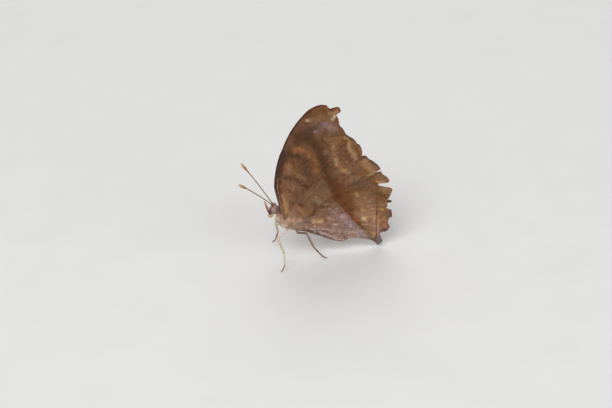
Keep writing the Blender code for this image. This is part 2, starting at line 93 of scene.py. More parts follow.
def object_place(material):
    """Place on the object in the part's own frame, for the material's textures."""
    return add_node(material, "ShaderNodeTexCoord").outputs["Object"]


def set_shader(material, **inputs):
    """Give inputs of the material's principled shader their values or links."""
    plug(material, material.node_tree.nodes["Principled BSDF"], inputs)


back = Vector((math.sin(VIEW_TURN) * math.cos(VIEW_HEIGHT),
               -math.cos(VIEW_TURN) * math.cos(VIEW_HEIGHT), math.sin(VIEW_HEIGHT)))
level = Vector((math.cos(VIEW_TURN), math.sin(VIEW_TURN), 0.0))
upright = back.cross(level)
right = level * math.cos(VIEW_ROLL) - upright * math.sin(VIEW_ROLL)
up = level * math.sin(VIEW_ROLL) + upright * math.cos(VIEW_ROLL)
lens = bpy.data.cameras.new("camera")
lens.lens = 100.0
lens.sensor_width = 36.0
lens.clip_start = 0.01
lens.clip_end = 20.0
camera = bpy.data.objects.new("camera", lens)
camera.matrix_world = Matrix.Translation(CAMERA_PLACE) @ Matrix((right, up, back)).transposed().to_4x4()
bpy.context.scene.collection.objects.link(camera)
bpy.context.scene.camera = camera

board = new_material("matt painted board")
grain = add_node(board, "ShaderNodeTexNoise", Vector=object_place(board), Scale=60.0, Detail=3.0)
tint = add_node(board, "ShaderNodeMapRange", Value=grain.outputs["Fac"], To_Min=0.78, To_Max=0.84)
set_shader(board, Base_Color=tint.outputs["Result"], Roughness=0.9)
bm = bmesh.new()
bmesh.ops.create_grid(bm, x_segments=4, y_segments=4, size=FLOOR_HALF_WIDTH)
mesh = bpy.data.meshes.new("floor")
bm.to_mesh(mesh)
bm.free()
mesh.materials.append(board)
floor = bpy.data.objects.new("floor", mesh)
bpy.context.scene.collection.objects.link(floor)

for name, place, size, power in (("key", (-0.35, -0.55, 0.75), 0.7, 5.6),
                                 ("fill", (0.65, -0.60, 0.45), 0.8, 2.4),
                                 ("back", (0.10, 0.70, 0.60), 0.7, 2.6)):
    lamp = bpy.data.lights.new(name, "AREA")
    lamp.size = size
    lamp.energy = power
    lamp_object = bpy.data.objects.new(name, lamp)
    lamp_object.location = place
    lamp_object.rotation_euler = (-Vector(place)).to_track_quat("-Z", "Y").to_euler()
    bpy.context.scene.collection.objects.link(lamp_object)
room = bpy.data.worlds.new("room")
room.use_nodes = True
room.node_tree.nodes["Background"].inputs["Color"].default_value = linear("#f4f3ef")
room.node_tree.nodes["Background"].inputs["Strength"].default_value = 0.34
bpy.context.scene.world = room
bpy.context.scene.view_settings.view_transform = "Standard"

# Wings
# Four leaf-brown wings, each a membrane stiffened by tubular veins and covered on both faces by
# rows of dust-like scales. They are closed over the back: the hindwings lie over the forewings.
# Where the wing base stands over the floor, and how far the insect leans to its right
BASE_HEIGHT = 10.5
LEAN = math.radians(6.0)
CENTRE = Vector((8.01, -0.37, 0.0))
# A wing's sheet: its grid, raised veins, the hollows between them, and its wavy, worn margin
SHEET = 0.10
SHEET_STEP = 0.115
SHEET_MARGIN = 0.05
EDGE_STEP = 0.30
VEIN_RIDGE = 0.07
VEIN_HALF_WIDTH = 0.16
HOLLOW_DEPTH = 0.07
HOLLOW_WIDTH = 1.4
WAVE_HEIGHT = 0.16
WAVE_LENGTH = 2.2
WAVE_REACH = 1.2
WAVE_START = 8.0
WAVE_FADE = 5.0
WEAR_DEPTH = 0.07
WEAR_LENGTH = 0.45
WEAR_START = 6.0
WEAR_FADE = 4.0
WEAR_WAY = (0.8, 0.5)
RIM_MERGE = 0.02
SHARP_FROM = math.radians(50.0)
VEIN_STEP = 0.6
HUG_DEPTH = 0.34
HUG_HALF_WIDTH = 0.8
# How far the wings lie from the middle plane, and how they spread round the body
GAP = 0.3
FORE_LAYER = 0.52
LAYER_PITCH = 1.04
FORE_LIFT = 0.25
HIND_LIFT = -0.30
FLARE_REACH = 4.2
STEP_START = 0.8
STEP_WIDTH = 1.2
STEP_WIDENING = 0.14
THORAX_WIDEST = 0.9
WAIST = 4.2
WAIST_ROOM = 0.25
WAIST_LENGTH = 1.2
TAIL_END = 14.6
TAIL_FADE = 4.0
# The body's axis, sloping down tailward, with its place, half width and half height along it
AXIS_POINT = Vector((1.3, 0.0, -0.35))
AXIS_SLOPE = math.radians(19.0)
AXIS = Vector((math.cos(AXIS_SLOPE), 0.0, -math.sin(AXIS_SLOPE)))
AXIS_UP = Vector((math.sin(AXIS_SLOPE), 0.0, math.cos(AXIS_SLOPE)))
THORAX_SECTIONS = [(-2.9, 0.80, 1.05), (-1.9, 1.20, 1.60), (-0.6, 1.85, 2.25), (0.9, 2.20, 2.75),
                   (2.4, 2.10, 2.60), (3.4, 1.80, 2.10), (4.2, 1.40, 1.50)]
ABDOMEN_SECTIONS = [(4.5, 1.38, 1.48), (5.6, 1.58, 1.66), (7.4, 1.65, 1.70), (10.0, 1.45, 1.50),
                    (12.6, 1.02, 1.05), (14.0, 0.55, 0.60), (14.6, 0.22, 0.25)]
# Outlines clockwise from the root, each point with the bulge of the edge after it
FOREWING_OUTLINE = [
    (-0.4, 0.7, 0.03), (-1.75, 7.5, 0.105), (0.9, 17.2, 0.12), (7.4, 26.0, 0.12), (10.8, 27.2, 0.05),
    (12.05, 26.9, 0.0), (12.4, 26.25, -0.10), (13.0, 25.95, 0.0), (13.85, 26.15, 0.05),
    (14.7, 26.25, 0.15), (15.2, 25.85, 0.15), (15.1, 25.45, 0.0), (14.5, 25.05, 0.0),
    (13.9, 24.7, -0.10), (14.0, 24.3, -0.10), (14.4, 23.85, 0.10), (14.55, 22.8, 0.0),
    (14.7, 21.9, -0.10), (15.4, 20.9, 0.10), (16.0, 19.7, -0.10), (16.9, 18.6, 0.0),
    (17.9, 17.9, 0.10), (18.55, 17.1, 0.0), (18.75, 16.6, 0.0), (19.5, 16.0, 0.10),
    (19.75, 14.8, 0.10), (19.6, 13.9, -0.10), (19.95, 12.9, 0.20), (20.1, 12.0, 0.25),
    (19.6, 10.5, 0.05), (8.9, 3.6, 0.03), (0.5, -0.6, 0.30)]
HINDWING_OUTLINE = [
    (0.3, 0.7, 0.18), (4.8, 6.0, 0.05), (12.6, 10.8, 0.03), (18.5, 13.0, 0.0), (19.6, 13.3, 0.0),
    (20.6, 13.2, 0.10), (21.1, 12.8, 0.0), (21.5, 12.2, 0.0), (22.4, 11.65, 0.0), (23.2, 10.9, 0.10),
    (23.98, 9.95, 0.20), (23.4, 9.7, 0.0), (22.9, 9.3, 0.0), (22.2, 8.7, 0.40), (22.25, 8.55, 0.0),
    (23.2, 8.9, 0.0), (24.1, 9.05, 0.20), (24.4, 8.5, 0.0), (25.0, 7.9, 0.0), (25.5, 7.5, 0.10),
    (26.05, 6.7, 0.20), (25.8, 6.2, 0.0), (24.9, 6.15, 0.0), (23.7, 6.15, 0.0), (23.0, 5.8, 0.0),
    (23.65, 5.45, 0.0), (24.4, 5.15, 0.0), (25.2, 4.9, 0.0), (25.95, 4.75, 0.10), (26.72, 4.3, 0.20),
    (26.6, 3.5, 0.0), (26.1, 2.7, 0.0), (25.8, 2.1, 0.0), (25.2, 1.65, 0.0), (25.85, 1.5, 0.0),
    (26.5, 1.15, 0.20), (25.7, 0.95, 0.0), (25.2, 0.75, 0.0), (25.35, 0.1, 0.10), (24.8, -0.45, 0.0),
    (25.5, -0.85, 0.0), (26.15, -1.1, 0.10), (26.4, -1.9, 0.10), (26.3, -2.85, 0.20),
    (25.6, -3.1, 0.0), (25.35, -3.7, 0.0), (25.2, -4.5, 0.0), (25.65, -5.3, 0.20), (25.35, -5.95, 0.10),
    (24.8, -6.5, 0.10), (24.1, -6.55, 0.0), (23.45, -6.6, 0.0), (23.15, -6.9, -0.10),
    (23.3, -7.75, 0.0), (23.65, -8.9, 0.15), (23.1, -9.6, 0.10), (22.6, -9.85, 0.15), (22.1, -9.2, 0.0),
    (21.5, -8.75, -0.10), (19.6, -7.95, 0.0), (17.7, -7.4, 0.0), (16.0, -7.2, 0.0), (15.1, -7.35, -0.10),
    (14.4, -7.72, 0.15), (13.1, -7.6, 0.0), (11.5, -7.0, 0.0), (9.8, -6.1, 0.03), (8.1, -5.2, 0.0),
    (6.7, -4.6, -0.03), (2.6, -2.9, 0.20)]
FORE_ROOT = (-0.2, 0.4)
FORE_CELL_TOP = (3.0, 13.4)
FORE_CELL_END = (5.2, 11.2)
FOREWING_VEINS = [
    [FORE_ROOT, (-1.1, 6.0), (-0.8, 11.5), (0.6, 16.6)],
    [FORE_ROOT, (0.0, 6.5), FORE_CELL_TOP, (6.9, 20.9), (12.9, 25.8)],
    [(1.6, 10.7), (1.6, 15.6), (4.2, 21.6)],
    [(6.9, 20.9), (8.4, 24.3), (9.9, 26.6)],
    [FORE_CELL_TOP, (8.6, 18.6), (14.0, 23.0)],
    [FORE_CELL_TOP, FORE_CELL_END],
    [(4.3, 12.1), (9.0, 16.4), (14.9, 21.4)],
    [FORE_ROOT, (1.7, 4.6), FORE_CELL_END, (10.2, 14.7), (17.0, 18.6)],
    [(4.1, 9.2), (11.0, 12.8), (19.2, 16.1)],
    [(2.5, 6.1), (10.0, 9.6), (19.8, 13.2)],
    [FORE_ROOT, (5.2, 4.0), (19.6, 11.2)]]
HIND_ROOT = (1.7, -1.0)
HIND_CELL_TOP = (11.2, 4.3)
HIND_CELL_END = (12.2, 1.4)
HINDWING_VEINS = [
    [HIND_ROOT, (3.8, 2.8), (9.6, 7.4), (18.2, 12.2)],
    [(5.6, 2.0), (12.8, 7.0), (20.9, 12.1)],
    [HIND_ROOT, (5.6, 2.0), HIND_CELL_TOP, (16.2, 7.0), (23.0, 10.3)],
    [HIND_CELL_TOP, (17.2, 5.6), (25.2, 7.7)],
    [HIND_CELL_TOP, HIND_CELL_END],
    [HIND_ROOT, (6.6, -0.4), HIND_CELL_END, (18.4, 3.2), (26.0, 4.0)],
    [(10.6, 1.0), (17.6, 0.4), (25.6, -1.4)],
    [(7.4, -0.2), (15.4, -2.2), (24.6, -5.0)],
    [HIND_ROOT, (8.0, -2.4), (15.6, -4.8), (22.4, -8.2)]]
FORE_INNER_EDGE = [(8.9, 3.6), (0.5, -0.6)]
COSTAL_EDGE = [(0.3, -0.8), (0.3, 0.7), (4.8, 6.4), (12.6, 11.0), (18.5, 13.2)]
HINDWING_TURN = {"left": 0.0, "right": math.radians(-0.5)}
SIDES = (("left", -1.0), ("right", 1.0))

# The brush: noise that makes a mark's edges ragged, as size, reach and shifts, and how abruptly
# a mark ends. Thin marks are broken up. The mottle and streaks are as size, share and shift.
RAGGED_EDGES = ((1.1, 0.28, (3.0, 9.0)), (0.35, 0.13, (5.0, 7.0)))
RAGGED_HALF_WIDTH = 0.5
MARK_SPREAD = 1.05
MARK_ABRUPTNESS = 2.4
THIN_HALF_WIDTH = 0.25
BREAK_LENGTH = 0.7
FLECK_SIZE = 0.45
FLECK_STRETCH = (0.6, 1.0)
LINE_STEP = 0.4
MOTTLE = ((0.9, 0.24, 1.0), (0.36, 0.24, 2.0))
STREAK_SHARE = 0.26
STREAK_CENTRE = (0.0, -1.0)
STREAKS_ROUND = 26.0
STREAK_LENGTH = 3.5
WARMTH = (0.05, -0.04, -0.16)
WARMTH_SIZE = 1.4

# Markings of the underside, as colour, half width, strength and the line that each follows
FOREWING_GROUND = "#6e4b32"
FOREWING_MARKS = [
    ("#7c5a42", 2.2, 0.8, [(0.4, 2), (1.1, 5.5), (2, 9)]),  # warm root
    ("#6f5039", 3, 0.7, [(4.3, 6.7), (7.8, 3.7)]),  # lower field
    ("#46302a", 0.85, 0.95,
     [(-0.9, 4.7), (-1.3, 7.9), (-0.9, 10.4), (0, 13.6), (1.3, 16.8)]),  # costal band
    ("#6a4838", 0.8, 0.85, [(1.8, 17.8), (3.4, 20.6), (5.0, 22.8), (6.6, 24.8)]),  # costal edge above
    ("#98705c", 0.14, 0.7, [(-0.2, 0.3), (-0.7, 3.9), (-1.1, 7.3), (-0.8, 10.4)]),  # costal vein
    ("#8f6c58", 0.14, 0.7, [(0.6, 0.2), (0.1, 3.3), (-0.3, 6.7)]),  # second vein
    ("#926547", 0.75, 0.75, [(1.8, 13.3), (1.9, 12.1)]),  # cell blob
    ("#8d6649", 0.6, 0.6, [(1.4, 11.7), (3.3, 11.2)]),  # cell blob foot
    ("#8d5c3a", 0.85, 0.72,
     [(3.6, 17.2), (5.1, 17.1), (6.8, 15.9), (7.9, 15), (8.5, 13.2), (8.7, 11.3)]),  # arch
    ("#976844", 0.45, 0.5, [(4.4, 17.5), (5.1, 17)]),  # arch core
    ("#51351f", 0.5, 0.9, [(2.5, 15.9), (4.3, 15.3), (5.4, 14.3), (6.9, 13.9)]),  # bar under arch
    ("#5a3e2d", 1.1, 0.85, [(5, 14.8), (5.9, 13.2), (6, 10.9), (6.8, 9)]),  # dark cell end
    ("#553723", 0.55, 0.85, [(0.9, 10.4), (2.3, 9.9), (4, 9.3), (5.3, 8.1), (6.5, 6.7)]),  # cell bar
    ("#8a6547", 0.5, 0.6, [(3.9, 10.5), (5.9, 9.6)]),  # cell bar bright
    ("#8f5527", 0.33, 0.85, [(0.1, 8.2), (0.7, 6.1)]),  # orange fleck
    ("#6d4428", 0.45, 0.7, [(0.7, 7.4), (2.1, 6.7), (3.5, 5.8)]),  # bar low
    ("#a17753", 0.6, 0.85, [(0.2, 5.6), (0.4, 3.8), (0.9, 2)]),  # tan low
    ("#76563f", 0.8, 0.5, [(2.2, 8.2), (3.4, 7.6)]),  # tan cell
    ("#8a684b", 0.8, 0.6, [(5.9, 5.5), (7.1, 4.3)]),  # tan inner
    ("#5b3b26", 0.45, 0.85, [(3.4, 4.2), (4.8, 3.3)]),  # dark inner
    ("#9b7350", 0.5, 0.85, [(3.3, 3), (4.5, 2.6)]),  # tan inner low
    ("#9c7548", 0.5, 0.8, [(4.9, 0.7), (6.4, 0.4)]),  # ochre inner
    ("#4f3523", 1.2, 0.95,
     [(4.8, 20.5), (7, 19.5), (8.8, 17.5), (9.6, 15.6), (10.2, 13), (11.1, 10.6)]),  # oblique band
    ("#553929", 1.0, 0.85, [(4.2, 18.8), (6.3, 20.9), (8, 20.7)]),  # oblique band top
    ("#6a4933", 0.8, 0.6, [(9.4, 19.5), (11.2, 18), (12.3, 16.1)]),  # band warm edge
    ("#745a54", 1.4, 0.7, [(9.1, 22.3), (11.2, 22.3), (13.4, 21.6)]),  # lilac bloom: painted violet sheen
    ("#846e6e", 0.6, 0.75, [(10.8, 23), (11.7, 22.5)]),  # lilac heart: painted violet sheen, brightest
    ("#937668", 0.8, 0.65, [(12.7, 21.9), (13.6, 21.3)]),  # lilac tail: painted violet sheen
    ("#553b2e", 0.9, 0.8, [(6.8, 21.8), (8.5, 21.9)]),  # dark under the painted violet sheen
    ("#694629", 1.2, 0.8, [(7.5, 25.1), (9.7, 25.9), (11.9, 25.4)]),  # tip brown
    ("#856041", 0.7, 0.8, [(8.2, 24.2), (10.6, 24.5), (12.3, 23.8)]),  # tip tan
    ("#7d4f33", 0.6, 0.8, [(8.8, 27.1), (10.8, 27.4), (12.7, 26.3), (14.4, 26.1)]),  # tip orange
    ("#6b3b28", 0.4, 0.8, [(6.3, 25.2), (7.6, 26.4)]),  # tip costa dark
    ("#bda583", 0.42, 0.85, [(13.0, 23.8), (13.6, 24.4)]),  # hook cream
    ("#8c5040", 0.3, 0.9, [(14.4, 25.7), (14.9, 25.8)]),  # hook rust
    ("#854f38", 0.3, 0.6, [(14.1, 23.8), (14.4, 21.7), (15.5, 20.1)]),  # rust edge
    ("#c9a186", 0.36, 0.9, [(7.0, 24.1), (7.35, 24.15)]),  # white spot
    ("#8f706c", 0.36, 0.75, [(8.7, 21.15), (9.4, 21.15)]),  # white spot low
    ("#8b6440", 0.6, 0.6, [(11.3, 19.3), (13.2, 18.5), (14.9, 18.8)]),  # tan row 1
    ("#967050", 0.55, 0.65, [(12.9, 17), (13, 15.2)]),  # tan row 2
    ("#a98562", 0.62, 0.75, [(13.3, 13.6), (13.6, 12.4)]),  # tan row 3
    ("#a87c48", 0.55, 0.8, [(14.7, 11), (15.9, 10.5)]),  # tan row 4
    ("#7c6150", 0.45, 0.7, [(11.1, 15.9), (11.8, 14.8)]),  # grey fleck
    ("#6e4a31", 0.8, 0.85, [(14.8, 16.5), (15.6, 14.4), (16.7, 12.2), (18.2, 11.8)]),  # rust hollow
    ("#6e4528", 0.7, 0.5, [(11.8, 11), (13.4, 9.8), (15.3, 9)]),  # rust hollow low
    ("#ae8a66", 0.6, 0.75,
     [(16.8, 17.1), (16.9, 15.8), (17.8, 14.4), (18, 13.1), (18.9, 12.2)]),  # margin pale
    ("#9c6e56", 0.35, 0.45, [(17.8, 17.5), (19.1, 15.8), (19.6, 14.2), (19.4, 13.2)]),  # margin pink
    ("#9b7d55", 0.3, 0.85, [(15.7, 19), (16.8, 18.2)]),  # margin top
    ("#8c6848", 0.3, 0.7, [(17.2, 16.6), (17.7, 15.7)]),  # lobe heart
    ("#a07a58", 0.5, 0.85, [(12.5, 25.2), (14.1, 25.4)]),  # hook tan
    ("#7c4636", 0.22, 0.7, [(14.1, 23.9), (14.2, 23.2)]),  # below the hook
    ("#7a553a", 0.16, 0.7, [(16.6, 17.3), (17.5, 17.0), (17.9, 16.1), (17.3, 15.5)]),  # lobe ring
    ("#4c372b", 0.6, 0.7, [(1.4, 14.9), (2.2, 16.4), (2.4, 17.7)]),  # dark above the cell blob
    ("#5f442f", 0.5, 0.6, [(7.6, 13.5), (8.3, 12.6)]),  # dark in the arch
    ("#5c3f29", 0.32, 0.7, [(2.7, 10.7), (3.5, 10.4)]),  # dark above the cell bar
    ("#643c34", 0.22, 0.9, [(15.0, 25.9), (15.1, 25.7)]),  # hook tip
]
FOREWING_FLECKS = [
    ("#9a7a60", 2.2, 0.40, [(1.2, 4.0), (3.0, 8.0)]),  # root field
    ("#a07e5c", 1.6, 0.40, [(12.0, 18.5), (13.6, 14.5), (16.5, 12.0)]),  # outer field
]
HINDWING_GROUND = "#77533a"
HINDWING_MARKS = [
    ("#75583f", 3.4, 0.9, [(8.1, 7.6), (8.8, 3.9), (11.6, 0.3)]),  # discal field
    ("#97735e", 2.1, 0.9, [(1.0, 0.4), (3.0, -0.9), (6.2, -3.0)]),  # root field
    ("#6b4d38", 1.6, 0.8, [(3.2, 4.7), (7.5, 7.9), (12.6, 10.8)]),  # costal strip
    ("#78583f", 1.0, 0.7, [(12.6, 10.8), (18.6, 12.9)]),  # outer costal strip
    ("#b8947e", 1.0, 0.75, [(0.4, 0.2), (1.6, -0.6), (3.6, -2.0)]),  # downy root
    ("#987a6d", 2.6, 0.95, [(8.8, -3.4), (12.2, -4.8), (15.8, -5.9), (18.7, -7.1)]),  # lower field
    ("#70503a", 2.6, 0.9, [(15, 9.4), (17.8, 7.4), (21.3, 5.2)]),  # upper field
    ("#745032", 2.8, 0.85, [(16.7, 3.1), (19.6, 0.7)]),  # middle field
    ("#96705a", 1.7, 0.6, [(18.2, 1.9), (21.1, 1), (22, -1.2)]),  # outer pink
    ("#a27a5f", 1.6, 0.8, [(19, -1.7), (21.7, -2.7), (22.3, -4.8)]),  # outer pink low
    ("#83603f", 1.5, 0.7, [(24.4, 4.2), (24.8, 0.4), (24.5, -4.1)]),  # outer edge
    ("#80684f", 0.5, 0.85, [(8.1, 4), (9, 3.5)]),  # grey flecks
    ("#947b60", 0.45, 0.85, [(10.1, 2.7), (10.3, 2.3)]),  # grey fleck
    ("#5f3821", 0.3, 0.6, [(6.6, 3.4), (8.3, 2.4), (10.8, 1.8)]),  # dark basal line
    ("#5c3c1f", 0.55, 0.6, [(7.3, 2.1), (6.9, 0.4)]),  # dark basal patch
    ("#9a7446", 0.5, 0.4, [(4.6, 1.6), (6.2, 1.5)]),  # ochre side
    ("#b08a60", 0.45, 0.75, [(6.9, -1), (7.9, -1.3), (9.2, -1.3)]),  # ochre patch
    ("#d2a878", 0.25, 0.7, [(8.5, -1.5), (8.9, -1.4)]),  # ochre heart
    ("#8a5c40", 0.3, 0.8, [(6.4, -2), (8.9, -2.3), (10.9, -2.9)]),  # rust under ochre
    ("#9c807c", 0.8, 0.65, [(12.1, 0), (14.2, -1.8), (16.1, -3.5)]),  # lilac inner: lilac tone with a painted violet sheen
    ("#98807f", 0.8, 0.7, [(15.8, -4.5), (17.8, -6.1), (19.7, -7.2)]),  # lilac low
    ("#c09a90", 0.25, 0.6, [(10.5, -0.9), (11.7, -1.4)]),  # pink fleck
    ("#cba896", 0.22, 0.65, [(11.6, -2.7), (12.8, -2.8)]),  # pink fleck low
    ("#8c6f6c", 0.6, 0.5, [(5, -2.1), (6.2, -3.1)]),  # lilac root
    ("#d0b09a", 0.4, 0.6, [(3.4, -0.1), (3.8, -0.4)]),  # pale root fleck
    ("#54331f", 1.4, 0.95, [(10.2, 10.9), (11.7, 8.2), (12.9, 6), (13.5, 3.9)]),  # dark wedge top
    ("#6b3e22", 1.15, 0.95, [(13.8, 3.2), (14.9, 1.3), (15.8, -0.3)]),  # dark wedge
    ("#66402a", 0.6, 0.95,
     [(16, -1), (17.5, -3), (18.8, -4.7), (20.4, -6.5), (21.9, -8)]),  # dark wedge low
    ("#6e4628", 1.3, 0.8, [(15.1, 5.1), (16, 2.9), (16.6, 1)]),  # wedge side
    ("#8a5038", 0.5, 0.7, [(16.8, -1.8), (17.5, -2.7)]),  # rust fleck
    ("#86694f", 0.9, 0.5, [(16.5, 8.7), (18.4, 8.2)]),  # grey above
    ("#884822", 0.5, 0.45, [(18.9, 9.4), (19.9, 9.1)]),  # rust above
    ("#a08069", 0.13, 0.25,
     [(9.4, 10), (10.3, 8.1), (11.1, 6), (12.3, 3.1), (13.4, 1.5)]),  # discal line
    ("#7c5b4c", 0.35, 0.4, [(8.9, 9.6), (10.4, 5.8), (11.8, 2.8), (13.6, 0)]),  # line inner shade
    ("#a3864a", 0.38, 0.8, [(17.9, 4.1), (18.1, 3.8)]),  # eye 1
    ("#b08a55", 0.28, 0.8, [(18.8, -0.1), (19.2, -0.2)]),  # eye 2
    ("#e2b88a", 0.42, 0.9, [(19.3, -2.6), (19.7, -2.7)]),  # eye 3
    ("#ab8048", 0.32, 0.8, [(23.8, -0.7), (24.2, -0.8)]),  # eye 4
    ("#c09a70", 0.36, 0.8, [(21.5, -6.6), (21.8, -7.2)]),  # eye 5
    ("#93704a", 0.9, 0.7, [(20.5, -5.2), (21.2, -6.6)]),  # ochre low
    ("#6f4a26", 0.25, 0.9, [(21.6, 8.8), (21.6, 7.4), (22.4, 6.2)]),  # rust edge line
    ("#653717", 0.17, 0.85, [(22.8, 2.9), (22.8, 0.6), (22.6, -1.8), (22.4, -3.8)]),  # dark line
    ("#6a4a4a", 0.16, 0.9, [(22.4, -3.8), (22.4, -6), (22.2, -8.3)]),  # dark line low
    ("#ab918c", 0.24, 0.65, [(22.9, -4.4), (22.8, -6.0), (22.8, -7.8)]),  # white line
    ("#bc9a92", 0.16, 0.4, [(18.9, -4.1), (20.8, -4.4), (22.3, -4.8)]),  # pink across
    ("#a27a58", 0.8, 0.8, [(20.3, 12.5), (20.7, 11), (22.1, 10.1)]),  # lobe one
    ("#a07a60", 0.22, 0.6, [(21, 12), (22.2, 11.1), (23.3, 10.2), (23.9, 10.1)]),  # lobe one edge
    ("#b39160", 0.3, 0.75, [(20.6, 8.9), (21.9, 8.9), (22.9, 9.4)]),  # lobe one cream
    ("#765030", 0.4, 0.8, [(20.2, 10.1), (20.8, 9.1)]),  # lobe one shade
    ("#8a6648", 0.8, 0.85, [(23.4, 8.1), (24.8, 6.8)]),  # lobe two
    ("#8a5648", 0.22, 0.6, [(24.6, 8.1), (25.5, 7.3), (25.9, 6.5)]),  # lobe two edge
    ("#b58a66", 0.28, 0.8, [(23, 6.7), (23.8, 6.4), (24.8, 6.3)]),  # lobe two orange
    ("#8c6a4e", 0.5, 0.7, [(24.7, 4.6), (26, 4.2), (26.3, 3)]),  # lobe three
    ("#5e4028", 0.6, 0.85, [(23.1, 3.3), (24.7, 2.7), (25.4, 2.3)]),  # lobe three shade
    ("#5c3820", 0.3, 0.95, [(24.6, 1.4), (25.5, 1.2), (26.2, 1.2)]),  # spike
    ("#705440", 0.35, 0.8, [(25.2, -1.1), (25.3, -2.4)]),  # lobe four shade
    ("#a35a45", 0.22, 0.5, [(24.6, 0.1), (24.7, -1.5)]),  # lobe four edge
    ("#5a3c38", 0.28, 0.8, [(26, -1.4), (26.2, -2.7)]),  # lobe four end
    ("#9a6a48", 0.7, 0.8, [(24, -4), (24.5, -4.9)]),  # lobe five
    ("#8a5a52", 0.35, 0.85, [(24.4, -5.7), (25.5, -5)]),  # lobe five edge
    ("#5e443a", 0.3, 0.85, [(23.9, -6.3), (24.7, -6.2)]),  # lobe five dark
    ("#75666c", 0.6, 0.95, [(22.6, -8.3), (23.1, -9), (22.5, -9.4)]),  # tail
    ("#5a4638", 0.32, 0.85, [(4.2, -3.3), (7.1, -4.2), (9.3, -5.5), (11.3, -6.7)]),  # margin low dark: painted shadow along the lower margin
    ("#9c8080", 0.35, 0.85, [(7.8, -3.8), (9.8, -5.2), (11.7, -6.4)]),  # margin low lilac
    ("#5c4238", 0.12, 0.8, [(6.4, -3.5), (8.8, -4), (11.2, -4.9), (13.7, -5.5)]),  # wave low 1
    ("#6a4c40", 0.12, 0.8, [(7.9, -2.8), (10.2, -3.4), (12.7, -4.3)]),  # wave low 2
    ("#84696a", 0.3, 0.8, [(14, -7), (15, -6.6), (16, -6.4)]),  # tuft dark
    ("#9b7350", 0.5, 0.7, [(3.3, 2.9), (4.6, 2.5)]),  # tan beside the forewing
    ("#5b3b26", 0.45, 0.7, [(3.5, 4.0), (4.9, 3.2)]),  # dark beside the forewing
    ("#a87f58", 0.55, 0.7, [(14.7, 10.9), (15.9, 10.4)]),  # tan below the forewing margin
    ("#b2948c", 0.16, 0.3,
     [(13.4, 1.5), (16.0, -2.0), (18.3, -4.8), (20.7, -7.2), (22.4, -8.5)]),  # discal line low
    ("#5c3a34", 0.16, 0.8, [(25.6, -3.3), (25.2, -4.4), (25.5, -5.4)]),  # lobe five rim
    ("#c4a8a2", 0.17, 0.85, [(8.0, -3.95), (10.2, -5.35), (12.1, -6.7), (14.2, -7.45)]),  # pale rim low
    ("#6b3c22", 0.9, 0.5, [(12.6, 8.0), (13.8, 5.9), (12.2, 4.6)]),  # rust in the wedge
    ("#6a4c42", 0.12, 0.7, [(9.5, -2.6), (12.6, -3.4), (16.2, -4.9)]),  # wave low 3
    ("#c4a8a0", 0.12, 0.6, [(8.6, -3.2), (11.4, -4.0), (14.6, -5.2), (17.6, -6.3)]),  # pale wave low
    ("#64432d", 0.45, 0.65, [(4.4, 2.7), (5.4, 2.2)]),  # dark above the ochre side
    ("#76523a", 0.4, 0.65, [(9.5, -0.7), (10.0, -1.9)]),  # brown beside the ochre patch
    ("#a07c6a", 0.5, 0.6, [(4.2, -0.1), (5.4, -0.5)]),  # pink in the root
    ("#745444", 0.35, 0.55, [(13.1, -0.3), (13.9, -1.1)]),  # brown in the lilac
    ("#ab8d8e", 0.6, 0.6, [(14.3, -1.0), (15.3, -2.1), (16.1, -3.2)]),  # lilac heart of the wing: lilac tone with a painted violet sheen
]
HINDWING_FLECKS = [
    ("#c9b3a6", 1.5, 0.65, [(0.8, -0.6), (3.0, -1.8), (5.5, -2.8)]),  # downy root
    ("#c4a9a2", 1.5, 0.56, [(7.0, -3.2), (12.0, -5.2), (18.0, -7.0)]),  # lower field
    ("#b09698", 0.9, 0.55,
     [(11.5, 1.2), (14.2, -1.9), (17.2, -5.0), (20.0, -7.7)]),  # beside the discal line
    ("#b3906f", 1.5, 0.45, [(17.8, 3.2), (20.6, 0.6), (21.8, -3.6)]),  # outer field
    ("#957a60", 1.7, 0.35, [(7.5, 4.5), (10.8, 1.2)]),  # middle of the wing
    ("#b98f6a", 0.8, 0.40, [(23.6, 7.4), (25.0, 3.4), (24.8, -2.0), (24.4, -5.2)]),  # margin
]
FOREWING_PATTERN = (FOREWING_GROUND, FOREWING_MARKS, FOREWING_FLECKS)
HINDWING_PATTERN = (HINDWING_GROUND, HINDWING_MARKS, HINDWING_FLECKS)

to_floor = Matrix.Translation((0.0, 0.0, BASE_HEIGHT)) @ Matrix.Rotation(-LEAN, 4, "X")
to_part = Matrix.Scale(MM, 4) @ Matrix.Translation(-CENTRE)
body_to_part = to_part @ to_floor


def smoothstep(x):
    x = np.clip(x, 0.0, 1.0)
    return x * x * (3.0 - 2.0 * x)


def section_at(sections, along):
    """Half width and half height at distances along the axis, smooth through the sections."""
    table = np.array(sections)
    slopes = np.gradient(table, table[:, 0], axis=0)
    along = np.clip(np.asarray(along, float), table[0, 0], table[-1, 0])
    index = np.clip(np.searchsorted(table[:, 0], along, "right") - 1, 0, len(table) - 2)
    start, end = table[index], table[index + 1]
    span = end[..., 0] - start[..., 0]
    t = (along - start[..., 0]) / span
    halves = []
    for part in (1, 2):
        value = ((2 * t**3 - 3 * t**2 + 1) * start[..., part]
                 + (t**3 - 2 * t**2 + t) * span * slopes[index, part]
                 + (3 * t**2 - 2 * t**3) * end[..., part]
                 + (t**3 - t**2) * span * slopes[index + 1, part])
        halves.append(value)
    return halves


def axis_distance(u, v):
    """Place along the body axis and height above it of points of the middle plane."""
    du, dv = u - AXIS_POINT.x, v - AXIS_POINT.z
    return du * AXIS.x + dv * AXIS.z, du * AXIS_UP.x + dv * AXIS_UP.z


